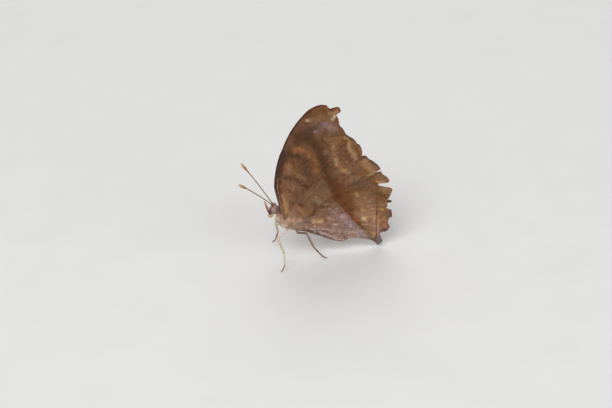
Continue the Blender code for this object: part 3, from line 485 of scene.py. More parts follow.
def forewing_layer(u, v):
    """Distance of the forewing from the middle plane, spread round the body at its root."""
    along, height = axis_distance(u, v)
    thorax = section_at(THORAX_SECTIONS, np.maximum(along, THORAX_WIDEST))[0]
    abdomen = section_at(ABDOMEN_SECTIONS, along)[0]
    half_width = np.where(along < WAIST, thorax, abdomen)
    half_width = half_width * (1.0 - smoothstep((along - TAIL_END + 1.0) / TAIL_FADE))
    room = WAIST_ROOM * np.exp(-((along - WAIST) / WAIST_LENGTH) ** 2)
    spread = half_width + room + 0.5 * GAP
    return FORE_LAYER + spread * np.exp(-(height / FLARE_REACH) ** 2)


def hindwing_layer(u, v):
    """The hindwing lies over the forewing and steps in to the body below its inner edge."""
    edge_a, edge_b = Vector(FOREWING_OUTLINE[-1][:2]), Vector(FOREWING_OUTLINE[-3][:2])
    way = (edge_b - edge_a).normalized()
    below = (u - edge_a.x) * way.y - (v - edge_a.y) * way.x
    width = STEP_WIDTH + STEP_WIDENING * np.maximum(u, 0.0)
    return forewing_layer(u, v) + LAYER_PITCH * (1.0 - smoothstep((below - STEP_START) / width))


def trace_outline(nodes):
    """Close points along an outline whose edges are straight or, by their bulge, arcs."""
    points = []
    for index, (u, v, bulge) in enumerate(nodes):
        start = Vector((u, v))
        chord = Vector(nodes[(index + 1) % len(nodes)][:2]) - start
        left = Vector((-chord.y, chord.x)) * 0.5
        steps = max(1, round(chord.length / EDGE_STEP))
        for step in range(steps):
            t = step / steps
            points.append(start + chord * t + left * (4.0 * t * (1.0 - t) * bulge))
    return np.array(points)


def smooth_line(bends, step):
    """Even points along a line, smooth through the places it bends at.

    A fourth number of a place, such as a radius, is smoothed too and doesn't count as length.
    """
    knots = [Vector(b) for b in bends]
    line = []
    for index in range(len(knots) - 1):
        before, start = knots[max(index - 1, 0)], knots[index]
        end, after = knots[index + 1], knots[min(index + 2, len(knots) - 1)]
        steps = max(1, round(Vector((end - start)[:3]).length / step))
        for number in range(steps):
            t = number / steps
            line.append(0.5 * (2.0 * start + (end - before) * t
                               + (2.0 * before - 5.0 * start + 4.0 * end - after) * t**2
                               + (3.0 * start - before - 3.0 * end + after) * t**3))
    line.append(knots[-1])
    return np.array(line)


def line_distance(points, line):
    """Distance of each point from a line of straight pieces, and the nearest place on it."""
    best = np.full(len(points), 1e9)
    nearest = np.array(points, float)
    for start, end in zip(line[:-1], line[1:]):
        way = end - start
        t = np.clip(((points - start) @ way) / max(way @ way, 1e-9), 0.0, 1.0)
        place = start + t[:, None] * way
        distance = np.linalg.norm(points - place, axis=1)
        closer = distance < best
        best[closer] = distance[closer]
        nearest[closer] = place[closer]
    return best, nearest


def inside(points, outline):
    """Even-odd test of points against a closed outline."""
    hit = np.zeros(len(points), bool)
    for a, b in zip(outline, np.roll(outline, 1, axis=0)):
        if a[1] == b[1]:
            continue
        between = (a[1] > points[:, 1]) != (b[1] > points[:, 1])
        crossing = a[0] + (points[:, 1] - a[1]) / (b[1] - a[1]) * (b[0] - a[0])
        hit ^= between & (points[:, 0] < crossing)
    return hit


def noise_at(points, size, shift):
    """Smooth noise from -1 to 1 with features of about the size; each shift is another pattern."""
    places = np.zeros((len(points), 3))
    places[:, :points.shape[1]] = points
    return np.array([noise.noise(place) for place in (places / size + shift).tolist()])


def turned(points, root, turn):
    """Turn outline nodes or vein bends about the wing's root."""
    centre = Vector(root)
    rotation = Matrix.Rotation(turn, 2)
    result = []
    for point in points:
        place = centre + rotation @ (Vector(point[:2]) - centre)
        result.append((place.x, place.y, *point[2:]))
    return result


def paint_marks(places, pattern, turn):
    """Colour of each place: the ground colour with every mark brushed over it, ragged edges,
    and single pale scales scattered along the flecks' lines."""
    ground, marks, flecks = pattern
    centre = np.array(HIND_ROOT)
    cosine, sine = math.cos(turn), math.sin(turn)
    rotation = np.array(((cosine, -sine), (sine, cosine)))
    places = (places - centre) @ rotation + centre
    warped = places
    for size, reach, shifts in RAGGED_EDGES:
        warped = warped + reach * np.stack([noise_at(places, size, shift) for shift in shifts], axis=1)
    broken = smoothstep((noise_at(places, BREAK_LENGTH, 15.0) + 0.6) / 0.6)
    colour = np.tile(rgb(ground), (len(places), 1))
    for code, half_width, strength, line in marks:
        calm = places + (warped - places) * min(1.0, half_width / RAGGED_HALF_WIDTH)
        distance = line_distance(calm, smooth_line(line, LINE_STEP))[0]
        weight = strength * np.exp(-(distance / (MARK_SPREAD * half_width)) ** MARK_ABRUPTNESS)
        if half_width < THIN_HALF_WIDTH:
            weight = weight * broken
        colour += (rgb(code) - colour) * weight[:, None]
    scattered = noise_at(places * np.array(FLECK_STRETCH), FLECK_SIZE, 13.0)
    scattered = smoothstep((scattered - 0.1) / 0.35)
    for code, half_width, strength, line in flecks:
        distance = line_distance(places, smooth_line(line, LINE_STEP))[0]
        weight = strength * scattered * np.exp(-(distance / half_width) ** 2)
        colour += (rgb(code) - colour) * weight[:, None]
    reach = places - np.array(STREAK_CENTRE)
    streaks = np.stack([np.arctan2(reach[:, 1], reach[:, 0]) * STREAKS_ROUND,
                        np.linalg.norm(reach, axis=1) / STREAK_LENGTH], axis=1)
    mottle = 1.0
    for size, share, shift in MOTTLE:
        mottle = mottle + share * noise_at(places, size, shift)
    mottle = mottle + STREAK_SHARE * noise_at(streaks, 1.0, 8.0)
    warmth = noise_at(places, WARMTH_SIZE, 11.0)[:, None] * np.array(WARMTH)
    return colour * mottle[:, None] * (1.0 + warmth)


def finish_piece(bm, name, material, nodes, matrix, colours=None):
    """Write a bmesh in millimetres to an object in the part's frame and put it on the insect."""
    bmesh.ops.recalc_face_normals(bm, faces=bm.faces)
    mesh = bpy.data.meshes.new(name)
    bm.to_mesh(mesh)
    bm.free()
    if colours:
        places = np.empty(3 * len(mesh.vertices))
        mesh.vertices.foreach_get("co", places)
        attribute = mesh.color_attributes.new("scale_colour", "FLOAT_COLOR", "POINT")
        values = np.ones((len(mesh.vertices), 4))
        values[:, :3] = colours(places.reshape(-1, 3))
        attribute.data.foreach_set("color", values.ravel())
    mesh.transform(matrix)
    mesh.materials.append(material)
    mesh.shade_smooth()
    mesh.set_sharp_from_angle(angle=SHARP_FROM)
    piece = bpy.data.objects.new(name, mesh)
    bpy.context.scene.collection.objects.link(piece)
    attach(piece, "root")
    if nodes:
        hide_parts(*nodes)


def wing_sheet(outline_nodes, veins, layer, side, lift, hugging):
    """Thin wing: a grid trimmed to the outline, raised along its veins and given thickness.

    Its edge along the hugging line is drawn in towards the wing beneath.
    """
    outline = trace_outline(outline_nodes)
    fading = smoothstep((outline[:, :1] - WEAR_START) / WEAR_FADE)[:, 0]
    worn = noise_at(outline, WEAR_LENGTH, 4.0) * WEAR_DEPTH * fading
    outline = outline + worn[:, None] * np.array(WEAR_WAY)
    low, high = outline.min(axis=0) - SHEET_MARGIN, outline.max(axis=0) + SHEET_MARGIN
    cells = np.ceil((high - low) / SHEET_STEP).astype(int)
    bm = bmesh.new()
    bmesh.ops.create_grid(bm, x_segments=int(cells[0]), y_segments=int(cells[1]), size=0.5)
    bmesh.ops.scale(bm, vec=(*(high - low), 1.0), verts=bm.verts)
    bmesh.ops.translate(bm, vec=(*((high + low) / 2.0), 0.0), verts=bm.verts)
    centres = np.array([f.calc_center_median()[:2] for f in bm.faces])
    keep = inside(centres, outline)
    spare = [f for f, kept in zip(bm.faces[:], keep) if not kept]
    bmesh.ops.delete(bm, geom=spare, context="FACES")
    rim = [v for v in bm.verts if v.is_boundary]
    ring = np.vstack([outline, outline[:1]])
    snapped = line_distance(np.array([v.co[:2] for v in rim]), ring)[1]
    for vert, place in zip(rim, snapped):
        vert.co.xy = place
    bmesh.ops.remove_doubles(bm, verts=bm.verts, dist=RIM_MERGE)
    places = np.array([v.co[:2] for v in bm.verts])
    vein_near = np.full(len(places), 1e9)
    for bends in veins:
        vein_near = np.minimum(vein_near, line_distance(places, smooth_line(bends, VEIN_STEP))[0])
    edge_near = line_distance(places, ring)[0]
    ridge = VEIN_RIDGE * np.exp(-(vein_near / VEIN_HALF_WIDTH) ** 2)
    hollow = -HOLLOW_DEPTH * smoothstep(vein_near / HOLLOW_WIDTH)
    waves = noise_at(places, WAVE_LENGTH, 6.0) * WAVE_HEIGHT * np.exp(-edge_near / WAVE_REACH)
    waves *= smoothstep((places[:, 0] - WAVE_START) / WAVE_FADE)
    hug_near = line_distance(places, smooth_line(hugging, VEIN_STEP))[0]
    hug = HUG_DEPTH * np.exp(-(hug_near / HUG_HALF_WIDTH) ** 2)
    offset = layer(places[:, 0], places[:, 1]) + lift - hug + ridge + hollow + waves
    for vert, depth in zip(bm.verts, offset):
        vert.co = (vert.co.x, side * depth, vert.co.y)
    bmesh.ops.recalc_face_normals(bm, faces=bm.faces)
    bmesh.ops.solidify(bm, geom=bm.faces[:], thickness=SHEET)
    return bm


def wings_of(hand):
    """Both wings of a side: name, outline, veins, layer, lift, hugging line, pattern and turn."""
    turn = HINDWING_TURN[hand]
    veins = [turned(vein, HIND_ROOT, turn) for vein in HINDWING_VEINS]
    return (("forewing", FOREWING_OUTLINE, FOREWING_VEINS, forewing_layer, FORE_LIFT,
             FORE_INNER_EDGE, FOREWING_PATTERN, 0.0),
            ("hindwing", turned(HINDWING_OUTLINE, HIND_ROOT, turn), veins, hindwing_layer, HIND_LIFT,
             COSTAL_EDGE, HINDWING_PATTERN, turn))


def painted_colour(material, strength):
    """The colour painted on the mesh, made lighter or darker by a texture."""
    painted = add_node(material, "ShaderNodeAttribute", {"attribute_name": "scale_colour"})
    return add_node(material, "ShaderNodeVectorMath", {"operation": "SCALE"},
                    i0=painted.outputs["Color"], Scale=strength).outputs["Vector"]


# Scaled chitin membrane: dry dusty brown, no gloss, a faint lilac bloom where it is seen aslant.
# Real scales are 0.05 mm wide; they are drawn 0.16 mm wide so that they show.
wing_finish = new_material("scaled wing membrane")
place = object_place(wing_finish)
dust = add_node(wing_finish, "ShaderNodeTexNoise", Vector=place, Scale=4200.0, Detail=2.0)
dust_range = add_node(wing_finish, "ShaderNodeMapRange", Value=dust.outputs["Fac"], From_Min=0.3,
                      From_Max=0.7, To_Min=0.90, To_Max=1.10)
lengthwise = add_node(wing_finish, "ShaderNodeMapping", Vector=place, Scale=(0.6, 1.0, 1.25))
rows = add_node(wing_finish, "ShaderNodeTexVoronoi", Vector=lengthwise.outputs["Vector"], Scale=6200.0)
each_scale = add_node(wing_finish, "ShaderNodeMapRange", Value=rows.outputs["Color"], To_Min=0.86,
                      To_Max=1.14)
strength = add_node(wing_finish, "ShaderNodeMath", {"operation": "MULTIPLY"},
                    i0=dust_range.outputs["Result"], i1=each_scale.outputs["Result"])
relief = add_node(wing_finish, "ShaderNodeBump", Height=rows.outputs["Distance"], Strength=0.35,
                  Distance=0.00004)
matt = add_node(wing_finish, "ShaderNodeMapRange", Value=dust.outputs["Fac"], To_Min=0.62, To_Max=0.86)
set_shader(wing_finish, Base_Color=painted_colour(wing_finish, strength.outputs["Value"]),
           Normal=relief.outputs["Normal"], Roughness=matt.outputs["Result"], Specular_IOR_Level=0.12,
           Sheen_Weight=0.03, Sheen_Roughness=0.4, Sheen_Tint=linear("#c9b0c4"))

for hand, side in SIDES:
    for kind, nodes, veins, layer, lift, hugging, pattern, turn in wings_of(hand):

        def wing_colour(places):
            """Colour of this wing at places of its sheet."""
            return paint_marks(places[:, ::2], pattern, turn)

        finish_piece(wing_sheet(nodes, veins, layer, side, lift, hugging), f"{kind}_{hand}_scales",
                     wing_finish, [f"{kind}_{hand}"], body_to_part, wing_colour)

# Body: head, thorax and abdomen
# A soft jointed shell of thin horn under a coat of hair scales: pinkish tan above and at the
# sides, cream below. It is one closed skin here, fused from its forms and coated with tufts.
BODY_VOXEL = 0.09
BODY_SIDES = 48
BODY_RINGS = 90
BODY_SMOOTHINGS = 6
NECK_START = -0.5
NECK_LIFT = 0.22
NECK_CURVE = 1.5
RING_START = 4.5
RING_PITCH = 1.45
RING_DEPTH = 0.06
HEAD_CENTRE = Vector((-2.20, 0.0, 2.20))
HEAD_HALF = Vector((1.02, 0.86, 1.10))
EYE_CENTRE = Vector((-2.45, 0.62, 2.30))
EYE_HALF = Vector((0.86, 0.72, 0.76))
SWELLINGS = [((-1.35, 0.0, -0.05), (0.72, 0.70, 0.80)), ((-3.00, 0.0, 1.95), (0.36, 0.52, 0.75)),
             ((-2.25, 0.0, 2.92), (0.55, 0.48, 0.42)),
             ((-1.55, 0.0, 2.30), (0.55, 0.72, 0.85)), ((-0.75, 0.95, 0.95), (0.70, 0.75, 0.80)),
             ((-0.75, -0.95, 0.95), (0.70, 0.75, 0.80)),
             ((-0.05, 2.55, -0.15), (0.62, 0.80, 0.85)), ((-0.05, -2.55, -0.15), (0.62, 0.80, 0.85))]
SKIN_COLOURS = {"back": "#9c7a68", "side": "#dfbca4", "belly": "#e5ccb6", "face": "#cba797",
                "cheek": "#cfb09f", "ring": "#8a6c5b", "streak": "#fff0d6"}
# Where the colours meet, the belly's top and the back's foot as shares of the half height
BELLY_TOP = -0.75
BACK_FOOT = 0.5
FACE_EDGE = -1.35
CHEEK_TOP = 1.75
RING_EDGE = 0.55
RING_SHADE = 0.55
# The skin lies just inside the solid, more so under the thorax, and the coat fills it out
SKIN_SHARE = 0.97
BELLY_FLATTENING = 0.09
# Places of the hips along the body and round it from the belly
HIPS = {"midleg": (0.2, math.radians(24.0)), "hindleg": (2.6, math.radians(26.0)),
        "foreleg": (-1.15, math.radians(20.0))}
HIP_HALF = (0.55, 0.42, 0.45)
HIP_SUNK = 0.2
# Pale streaks on the sides of the thorax, as lines (u, v) of the side view
STREAKS = [((-2.2, 0.56), (-1.35, 0.15)),
           ((-2.24, -0.11), (-1.75, -0.3), (-1.22, -0.7), (-0.56, -0.98)),
           ((-0.56, -0.98), (0.45, -1.27))]
STREAK_HALF_WIDTH = 0.36
STREAK_STRENGTH = 0.9
# How ragged the colours' edges are, and how mottled the skin
RISE_RAGGED = 0.18
SKIN_MOTTLE = 0.16


def axis_centre(along):
    """Point of the body's centre line, which rises towards the neck."""
    lift = NECK_LIFT * max(NECK_START - along, 0.0) ** NECK_CURVE
    return AXIS_POINT + AXIS * along + AXIS_UP * lift


def body_surface(along, roll, side):
    """Point on the thorax and its outward direction, rolled from the belly towards one side."""
    half_width, half_height = (float(half) for half in section_at(THORAX_SECTIONS, along))
    across = Vector((0.0, side, 0.0))
    point = (axis_centre(along) - AXIS_UP * (half_height * math.cos(roll))
             + across * (half_width * math.sin(roll)))
    outward = -AXIS_UP * (math.cos(roll) / half_height) + across * (math.sin(roll) / half_width)
    return point, outward.normalized()


def add_ellipsoid(bm, centre, half):
    matrix = Matrix.Translation(centre) @ Matrix.Diagonal((*half, 1.0))
    bmesh.ops.create_uvsphere(bm, u_segments=32, v_segments=20, radius=1.0, matrix=matrix)


def skin_colour(places):
    """Body colour by height round the trunk, with the face, cheeks and ring edges picked out."""
    shades = {key: rgb(code) for key, code in SKIN_COLOURS.items()}
    along, height = axis_distance(places[:, 0], places[:, 2])
    half_height = np.where(along < WAIST, section_at(THORAX_SECTIONS, along)[1],
                           section_at(ABDOMEN_SECTIONS, along)[1])
    rise = (height / half_height + RISE_RAGGED * noise_at(places, 0.8, 0.0))[:, None]
    colour = shades["belly"] + (shades["side"] - shades["belly"]) * smoothstep((rise - BELLY_TOP) / 0.6)
    colour += (shades["back"] - colour) * smoothstep((rise - BACK_FOOT) / 0.5)
    ring = np.cos(2.0 * math.pi * (along - RING_START) / RING_PITCH)
    edge = smoothstep((ring - RING_EDGE) / 0.4) * (along > RING_START) * RING_SHADE
    colour += (shades["ring"] - colour) * edge[:, None]
    head = smoothstep((FACE_EDGE - places[:, 0]) / 0.5)[:, None]
    cheek = smoothstep((CHEEK_TOP - places[:, 2]) / 0.5)[:, None]
    face = shades["face"] + (shades["cheek"] - shades["face"]) * cheek
    colour = colour + (face - colour) * head
    for streak in STREAKS:
        gap = line_distance(places[:, ::2], np.array(streak))[0]
        weight = STREAK_STRENGTH * np.exp(-(gap / STREAK_HALF_WIDTH) ** 2)
        colour += (shades["streak"] - colour) * weight[:, None]
    return colour * (1.0 + SKIN_MOTTLE * noise_at(places, 0.25, 1.0))[:, None]


def barrel(sides, cuts):
    """Upright closed tube of radius and length one, with even cuts across it."""
    bm = bmesh.new()
    bmesh.ops.create_cone(bm, cap_ends=True, segments=sides, radius1=1.0, radius2=1.0, depth=1.0)
    uprights = [e for e in bm.edges if abs(e.verts[0].co.z - e.verts[1].co.z) > 0.5]
    bmesh.ops.subdivide_edges(bm, edges=uprights, cuts=cuts, use_grid_fill=True)
    return bm


def triangles_of(bm):
    """Centre, outward direction and area of every face, once cut into triangles."""
    bmesh.ops.recalc_face_normals(bm, faces=bm.faces)
    bmesh.ops.triangulate(bm, faces=bm.faces[:])
    bm.normal_update()
    return (np.array([f.calc_center_median() for f in bm.faces]),
            np.array([f.normal for f in bm.faces]), np.array([f.calc_area() for f in bm.faces]))


# Hair scales over soft horn: matt, slightly silky, mottled where the tufts part.
skin_finish = new_material("downy insect skin")
down = add_node(skin_finish, "ShaderNodeTexNoise", Vector=object_place(skin_finish), Scale=6000.0,
                Detail=3.0)
down_range = add_node(skin_finish, "ShaderNodeMapRange", Value=down.outputs["Fac"], From_Min=0.3,
                      From_Max=0.7, To_Min=0.75, To_Max=1.15)
relief = add_node(skin_finish, "ShaderNodeBump", Height=down.outputs["Fac"], Strength=0.6,
                  Distance=0.00006)
set_shader(skin_finish, Base_Color=painted_colour(skin_finish, down_range.outputs["Result"]),
           Normal=relief.outputs["Normal"], Roughness=0.78, Specular_IOR_Level=0.3,
           Sheen_Weight=0.15, Sheen_Tint=linear("#e0cfc0"))

trunk_sections = THORAX_SECTIONS + ABDOMEN_SECTIONS
trunk_length = trunk_sections[-1][0] - trunk_sections[0][0]
bm = barrel(BODY_SIDES, BODY_RINGS)
for vert in bm.verts:
    along = trunk_sections[0][0] + trunk_length * (vert.co.z + 0.5)
    half_width, half_height = section_at(trunk_sections, along)
    angle = math.atan2(vert.co.y, vert.co.x)
    swell = SKIN_SHARE - BELLY_FLATTENING * (along < WAIST) * max(-math.cos(angle), 0.0)
    if along > RING_START:
        ring = 0.5 + 0.5 * math.cos(2.0 * math.pi * (along - RING_START) / RING_PITCH)
        swell -= RING_DEPTH * ring ** 3
    vert.co = (axis_centre(along) + AXIS_UP * (float(half_height) * swell * math.cos(angle))
               + Vector((0.0, float(half_width) * swell * math.sin(angle), 0.0)))
add_ellipsoid(bm, HEAD_CENTRE, HEAD_HALF)
for centre, half in SWELLINGS:
    add_ellipsoid(bm, centre, half)
for along, roll in HIPS.values():
    for side in (-1.0, 1.0):
        hip, outward = body_surface(along, roll, side)
        add_ellipsoid(bm, hip - outward * HIP_SUNK, HIP_HALF)
rough = bpy.data.meshes.new("rough_body")
bm.to_mesh(rough)
bm.free()
fused = bpy.data.objects.new("rough_body", rough)
bpy.context.scene.collection.objects.link(fused)
remesh = fused.modifiers.new("fuse", "REMESH")
remesh.mode = "VOXEL"
remesh.voxel_size = BODY_VOXEL
skin_mesh = bpy.data.meshes.new_from_object(
    fused.evaluated_get(bpy.context.evaluated_depsgraph_get()))
bpy.data.objects.remove(fused, do_unlink=True)
bm = bmesh.new()
bm.from_mesh(skin_mesh)
for _ in range(BODY_SMOOTHINGS):
    bmesh.ops.smooth_vert(bm, verts=bm.verts, factor=0.5, use_axis_x=True, use_axis_y=True,
                          use_axis_z=True)
skin_roots, skin_normals, skin_areas = triangles_of(bm)
finish_piece(bm, "body_skin", skin_finish, ["head", "thorax", "abdomen"], body_to_part,
             skin_colour)

# Coat
# Hair scales stand in small tufts on the head and thorax and lie flat on the abdomen. Each tuft
# is a thin three-sided blade that leans tailward. A real one is 0.02 mm wide, drawn wider to show.
COAT_SPACING = {"head": 0.085, "thorax": 0.11, "abdomen": 0.14}
COAT_LENGTHS = {"thorax": (0.42, 0.78), "head": (0.18, 0.36), "abdomen": (0.22, 0.36),
                "crown": (0.55, 0.85)}
COAT_LIFT = (0.22, 0.55)
COAT_JITTER = 0.35
CROWN_LIFT = (0.5, 0.9)
# Which way the tufts of the head lean, and how much of the jitter they take
HEAD_WAY = ((0.25, 0.0, 0.9), 0.8)
CHIN_WAY = ((-0.35, 0.0, -0.8), 0.7)
CROWN_WAY = ((-0.25, 0.0, 1.0), 0.5)
ABDOMEN_LIFT_SHARE = 0.35
BACK_LIFT_SHARE = 0.6
BACK_FROM = 1.2
HEAD_COAT_EDGE = -1.5
CHIN_TOP = 1.9
CROWN_FROM = 3.05
CROWN_HALF_WIDTH = 0.4
EYE_ROOM = 1.04
# A tuft's blade: where it bends, how it rises and tapers, and how deep and dark its root is
TUFT_WIDTH = 0.045
TUFT_BEND = 0.45
TUFT_RISE = 1.15
TUFT_FLATNESS = 0.6
TUFT_TAPER = 0.75
TUFT_SUNK = 0.03
TUFT_ROOT_SHADE = 0.72
TUFT_TIP_SHADE = 1.12
# The coat's unwrap: along the body and round it, with a small patch for each blade
UNWRAP_START = -5.0
UNWRAP_LENGTH = 21.0
UNWRAP_ROUND = 2.1 * math.pi
UNWRAP_PATCH = 0.0015
COAT_SEED = 7
COAT_WIDTHS = (0.7, 1.2)
HEAD_WIDTH_SHARE = 0.7
COAT_TINTS = (0.7, 1.35)
CROWN_TINTS = (0.75, 1.25)
CROWN_COLOURS = ("#7a4348", "#d3b0a6")
MAROON_EDGE = -2.5


def grow_coat(name, roots, normals, ways, lengths, lifts, widths, colours, unwrapped):
    """One mesh of bent blades, each on its root, leaning along its way.

    Each blade takes one small patch of a texture, at its own unwrapped place.
    """
    count = len(roots)
    ways = ways - normals * np.sum(ways * normals, axis=1)[:, None]
    ways /= np.linalg.norm(ways, axis=1)[:, None]
    sides = np.cross(normals, ways)
    blades = np.zeros((count, 7, 3))
    middle = roots + lengths[:, None] * (TUFT_BEND * ways + lifts[:, None] * normals)
    tips = roots + lengths[:, None] * (ways + TUFT_RISE * lifts[:, None] * normals)
    for corner, angle in enumerate(np.radians((90.0, 210.0, 330.0))):
        spread = widths[:, None] * (sides * math.cos(angle) + normals * TUFT_FLATNESS * math.sin(angle))
        blades[:, corner] = roots - TUFT_SUNK * normals + spread
        blades[:, corner + 3] = middle + TUFT_TAPER * spread
    blades[:, 6] = tips
    corners = np.array([(0, 3, 4), (0, 4, 1), (1, 4, 5), (1, 5, 2), (2, 5, 3), (2, 3, 0),
                        (3, 6, 4), (4, 6, 5), (5, 6, 3), (0, 1, 2)])
    faces = (corners[None] + 7 * np.arange(count)[:, None, None]).reshape(-1, 3)
    mesh = bpy.data.meshes.new(name)
    mesh.from_pydata(blades.reshape(-1, 3).tolist(), [], faces.tolist())
    attribute = mesh.color_attributes.new("scale_colour", "FLOAT_COLOR", "POINT")
    values = np.ones((count, 7, 4))
    values[:, :, :3] = colours[:, None]
    values[:, :3, :3] *= TUFT_ROOT_SHADE
    values[:, 6, :3] *= TUFT_TIP_SHADE
    attribute.data.foreach_set("color", values.ravel())
    turns = 0.9 * np.arange(7)
    patch = UNWRAP_PATCH * np.stack([np.cos(turns), np.sin(turns)], axis=1)
    uvs = unwrapped[:, None] + patch[None]
    uv_map = mesh.uv_layers.new(name="OFBake")
    loops = np.empty(len(mesh.loops), int)
    mesh.loops.foreach_get("vertex_index", loops)
    uv_map.data.foreach_set("uv", uvs.reshape(-1, 2)[loops].ravel())
    bm = bmesh.new()
    bm.from_mesh(mesh)
    finish_piece(bm, name, skin_finish, [], body_to_part)


def unwrap_body(places):
    """Place of each root on the skin's unwrap: along the body and round it."""
    along, height = axis_distance(places[:, 0], places[:, 2])
    return np.stack([(along - UNWRAP_START) / UNWRAP_LENGTH,
                     0.5 + np.arctan2(places[:, 1], height) / UNWRAP_ROUND], axis=1)


def pick_roots(areas, spacing, generator):
    """Faces to plant, so that tufts stand about the given spacing apart."""
    chance = areas / (spacing * spacing)
    return np.nonzero(generator.random(len(areas)) < chance)[0]


generator = np.random.default_rng(COAT_SEED)
along = axis_distance(skin_roots[:, 0], skin_roots[:, 2])[0]
mirrored = skin_roots.copy()
mirrored[:, 1] = np.abs(mirrored[:, 1])
eye_gap = np.linalg.norm((mirrored - np.array(EYE_CENTRE)) / np.array(EYE_HALF), axis=1)
on_head = skin_roots[:, 0] < HEAD_COAT_EDGE
on_abdomen = (along > WAIST) & ~on_head
spacing = np.where(on_head, COAT_SPACING["head"],
                   np.where(on_abdomen, COAT_SPACING["abdomen"], COAT_SPACING["thorax"]))
picked = pick_roots(skin_areas, spacing, generator)
picked = picked[eye_gap[picked] > EYE_ROOM]
roots, normals = skin_roots[picked], skin_normals[picked]
head, abdomen = on_head[picked], on_abdomen[picked]
jitter = generator.normal(0.0, COAT_JITTER, (len(picked), 3))
ways = np.array(AXIS)[None] + jitter
chin = head & (roots[:, 2] < CHIN_TOP)
crown = head & (roots[:, 2] > CROWN_FROM) & (np.abs(roots[:, 1]) < CROWN_HALF_WIDTH)
for region, (way, share) in ((head, HEAD_WAY), (chin, CHIN_WAY), (crown, CROWN_WAY)):
    ways[region] = np.array(way) + share * jitter[region]
lengths = generator.uniform(*COAT_LENGTHS["thorax"], len(picked))
lengths[head] = generator.uniform(*COAT_LENGTHS["head"], head.sum())
lengths[abdomen] = generator.uniform(*COAT_LENGTHS["abdomen"], abdomen.sum())
lifts = generator.uniform(*COAT_LIFT, len(picked))
lifts[abdomen] *= ABDOMEN_LIFT_SHARE
lifts *= np.where(roots[:, 2] > BACK_FROM, BACK_LIFT_SHARE, 1.0)
lengths[crown] = generator.uniform(*COAT_LENGTHS["crown"], crown.sum())
lifts[crown] = generator.uniform(*CROWN_LIFT, crown.sum())
width_shares = np.where(head, HEAD_WIDTH_SHARE, 1.0)
widths = TUFT_WIDTH * generator.uniform(*COAT_WIDTHS, len(picked)) * width_shares
tints = skin_colour(roots) * generator.uniform(*COAT_TINTS, (len(picked), 1))
maroon, blush = (rgb(code) for code in CROWN_COLOURS)
share = smoothstep((roots[crown, :1] - MAROON_EDGE) / 0.25)
tints[crown] = (maroon + (blush - maroon) * share) * generator.uniform(*CROWN_TINTS, (crown.sum(), 1))
grow_coat("body_coat", roots, normals, ways, lengths, lifts, widths, tints, unwrap_body(roots))

# Down on the wing roots
# Long soft hair scales, paler than the wing, lie flat on the roots of the hindwings and veil
# where they join the body.
ROOT_DOWN = 3000
DOWN_CENTRE = np.array((2.0, -1.6))
DOWN_SPREAD = np.array((2.0, 0.7))
DOWN_REACH = 2.2
DOWN_LENGTHS = (0.28, 0.55)
DOWN_LIFT = (0.04, 0.12)
DOWN_WIDTH = 0.028
DOWN_RAISED = 0.04
DOWN_WAY = (0.9, 0.0, -0.35)
DOWN_JITTER = 0.25
DOWN_COLOURS = ("#e6cdb8", "#a07a66")
DOWN_DARKNESS = 1.6
SLOPE_STEP = 0.05

for hand, side in SIDES:
    scatter = generator.normal(0.0, 1.0, (ROOT_DOWN, 2))
    scatter = scatter[np.linalg.norm(scatter, axis=1) < DOWN_REACH]
    places = scatter * DOWN_SPREAD + DOWN_CENTRE
    kept = inside(places, trace_outline(HINDWING_OUTLINE))
    places, near = places[kept], np.exp(-0.5 * np.sum(scatter[kept] ** 2, axis=1))[:, None]
    depth, ahead, above = (hindwing_layer(places[:, 0] + du, places[:, 1] + dv) + HIND_LIFT
                           for du, dv in ((0.0, 0.0), (SLOPE_STEP, 0.0), (0.0, SLOPE_STEP)))
    normals = np.stack([-(ahead - depth) / SLOPE_STEP, np.ones(len(places)),
                        -(above - depth) / SLOPE_STEP], axis=1)
    normals /= np.linalg.norm(normals, axis=1)[:, None]
    normals[:, 1] *= side
    roots = np.stack([places[:, 0], side * depth, places[:, 1]], axis=1) + DOWN_RAISED * normals
    ways = np.array(DOWN_WAY) + generator.normal(0.0, DOWN_JITTER, (len(places), 3))
    pale, dark = (rgb(code) for code in DOWN_COLOURS)
    tints = paint_marks(places, HINDWING_PATTERN, HINDWING_TURN[hand])
    tints += (dark + (pale - dark) * generator.random((len(places), 1)) ** DOWN_DARKNESS - tints) * near
    lengths = generator.uniform(*DOWN_LENGTHS, len(places))
    lifts = generator.uniform(*DOWN_LIFT, len(places))
    grow_coat(f"hindwing_{hand}_down", roots, normals, ways, lengths, lifts,
              np.full(len(places), DOWN_WIDTH), tints, places / 40.0 + 0.4)

# Fringe
# Longer narrow scales stand out past the worn outer margins of all four wings, in the colours
# of the markings that they end.
FRINGE_SPACING = 0.07
FRINGE_START = 5.0
FRINGE_END = 26.55
FRINGE_OVERHANG = 0.2
FRINGE_LENGTHS = (0.12, 0.26)
FRINGE_WIDTH = 0.035
FRINGE_SUNK = 0.06
MARGIN_INSET = 0.1
FRINGE_JITTER = 0.25
FRINGE_TINTS = (0.7, 1.25)
# The bare front edges: above these lines of the side view, as slope, height at u = 0 and end
FRONT_EDGES = {"forewing": (2.1, 2.0, math.inf), "hindwing": (0.6, 0.5, 18.0)}

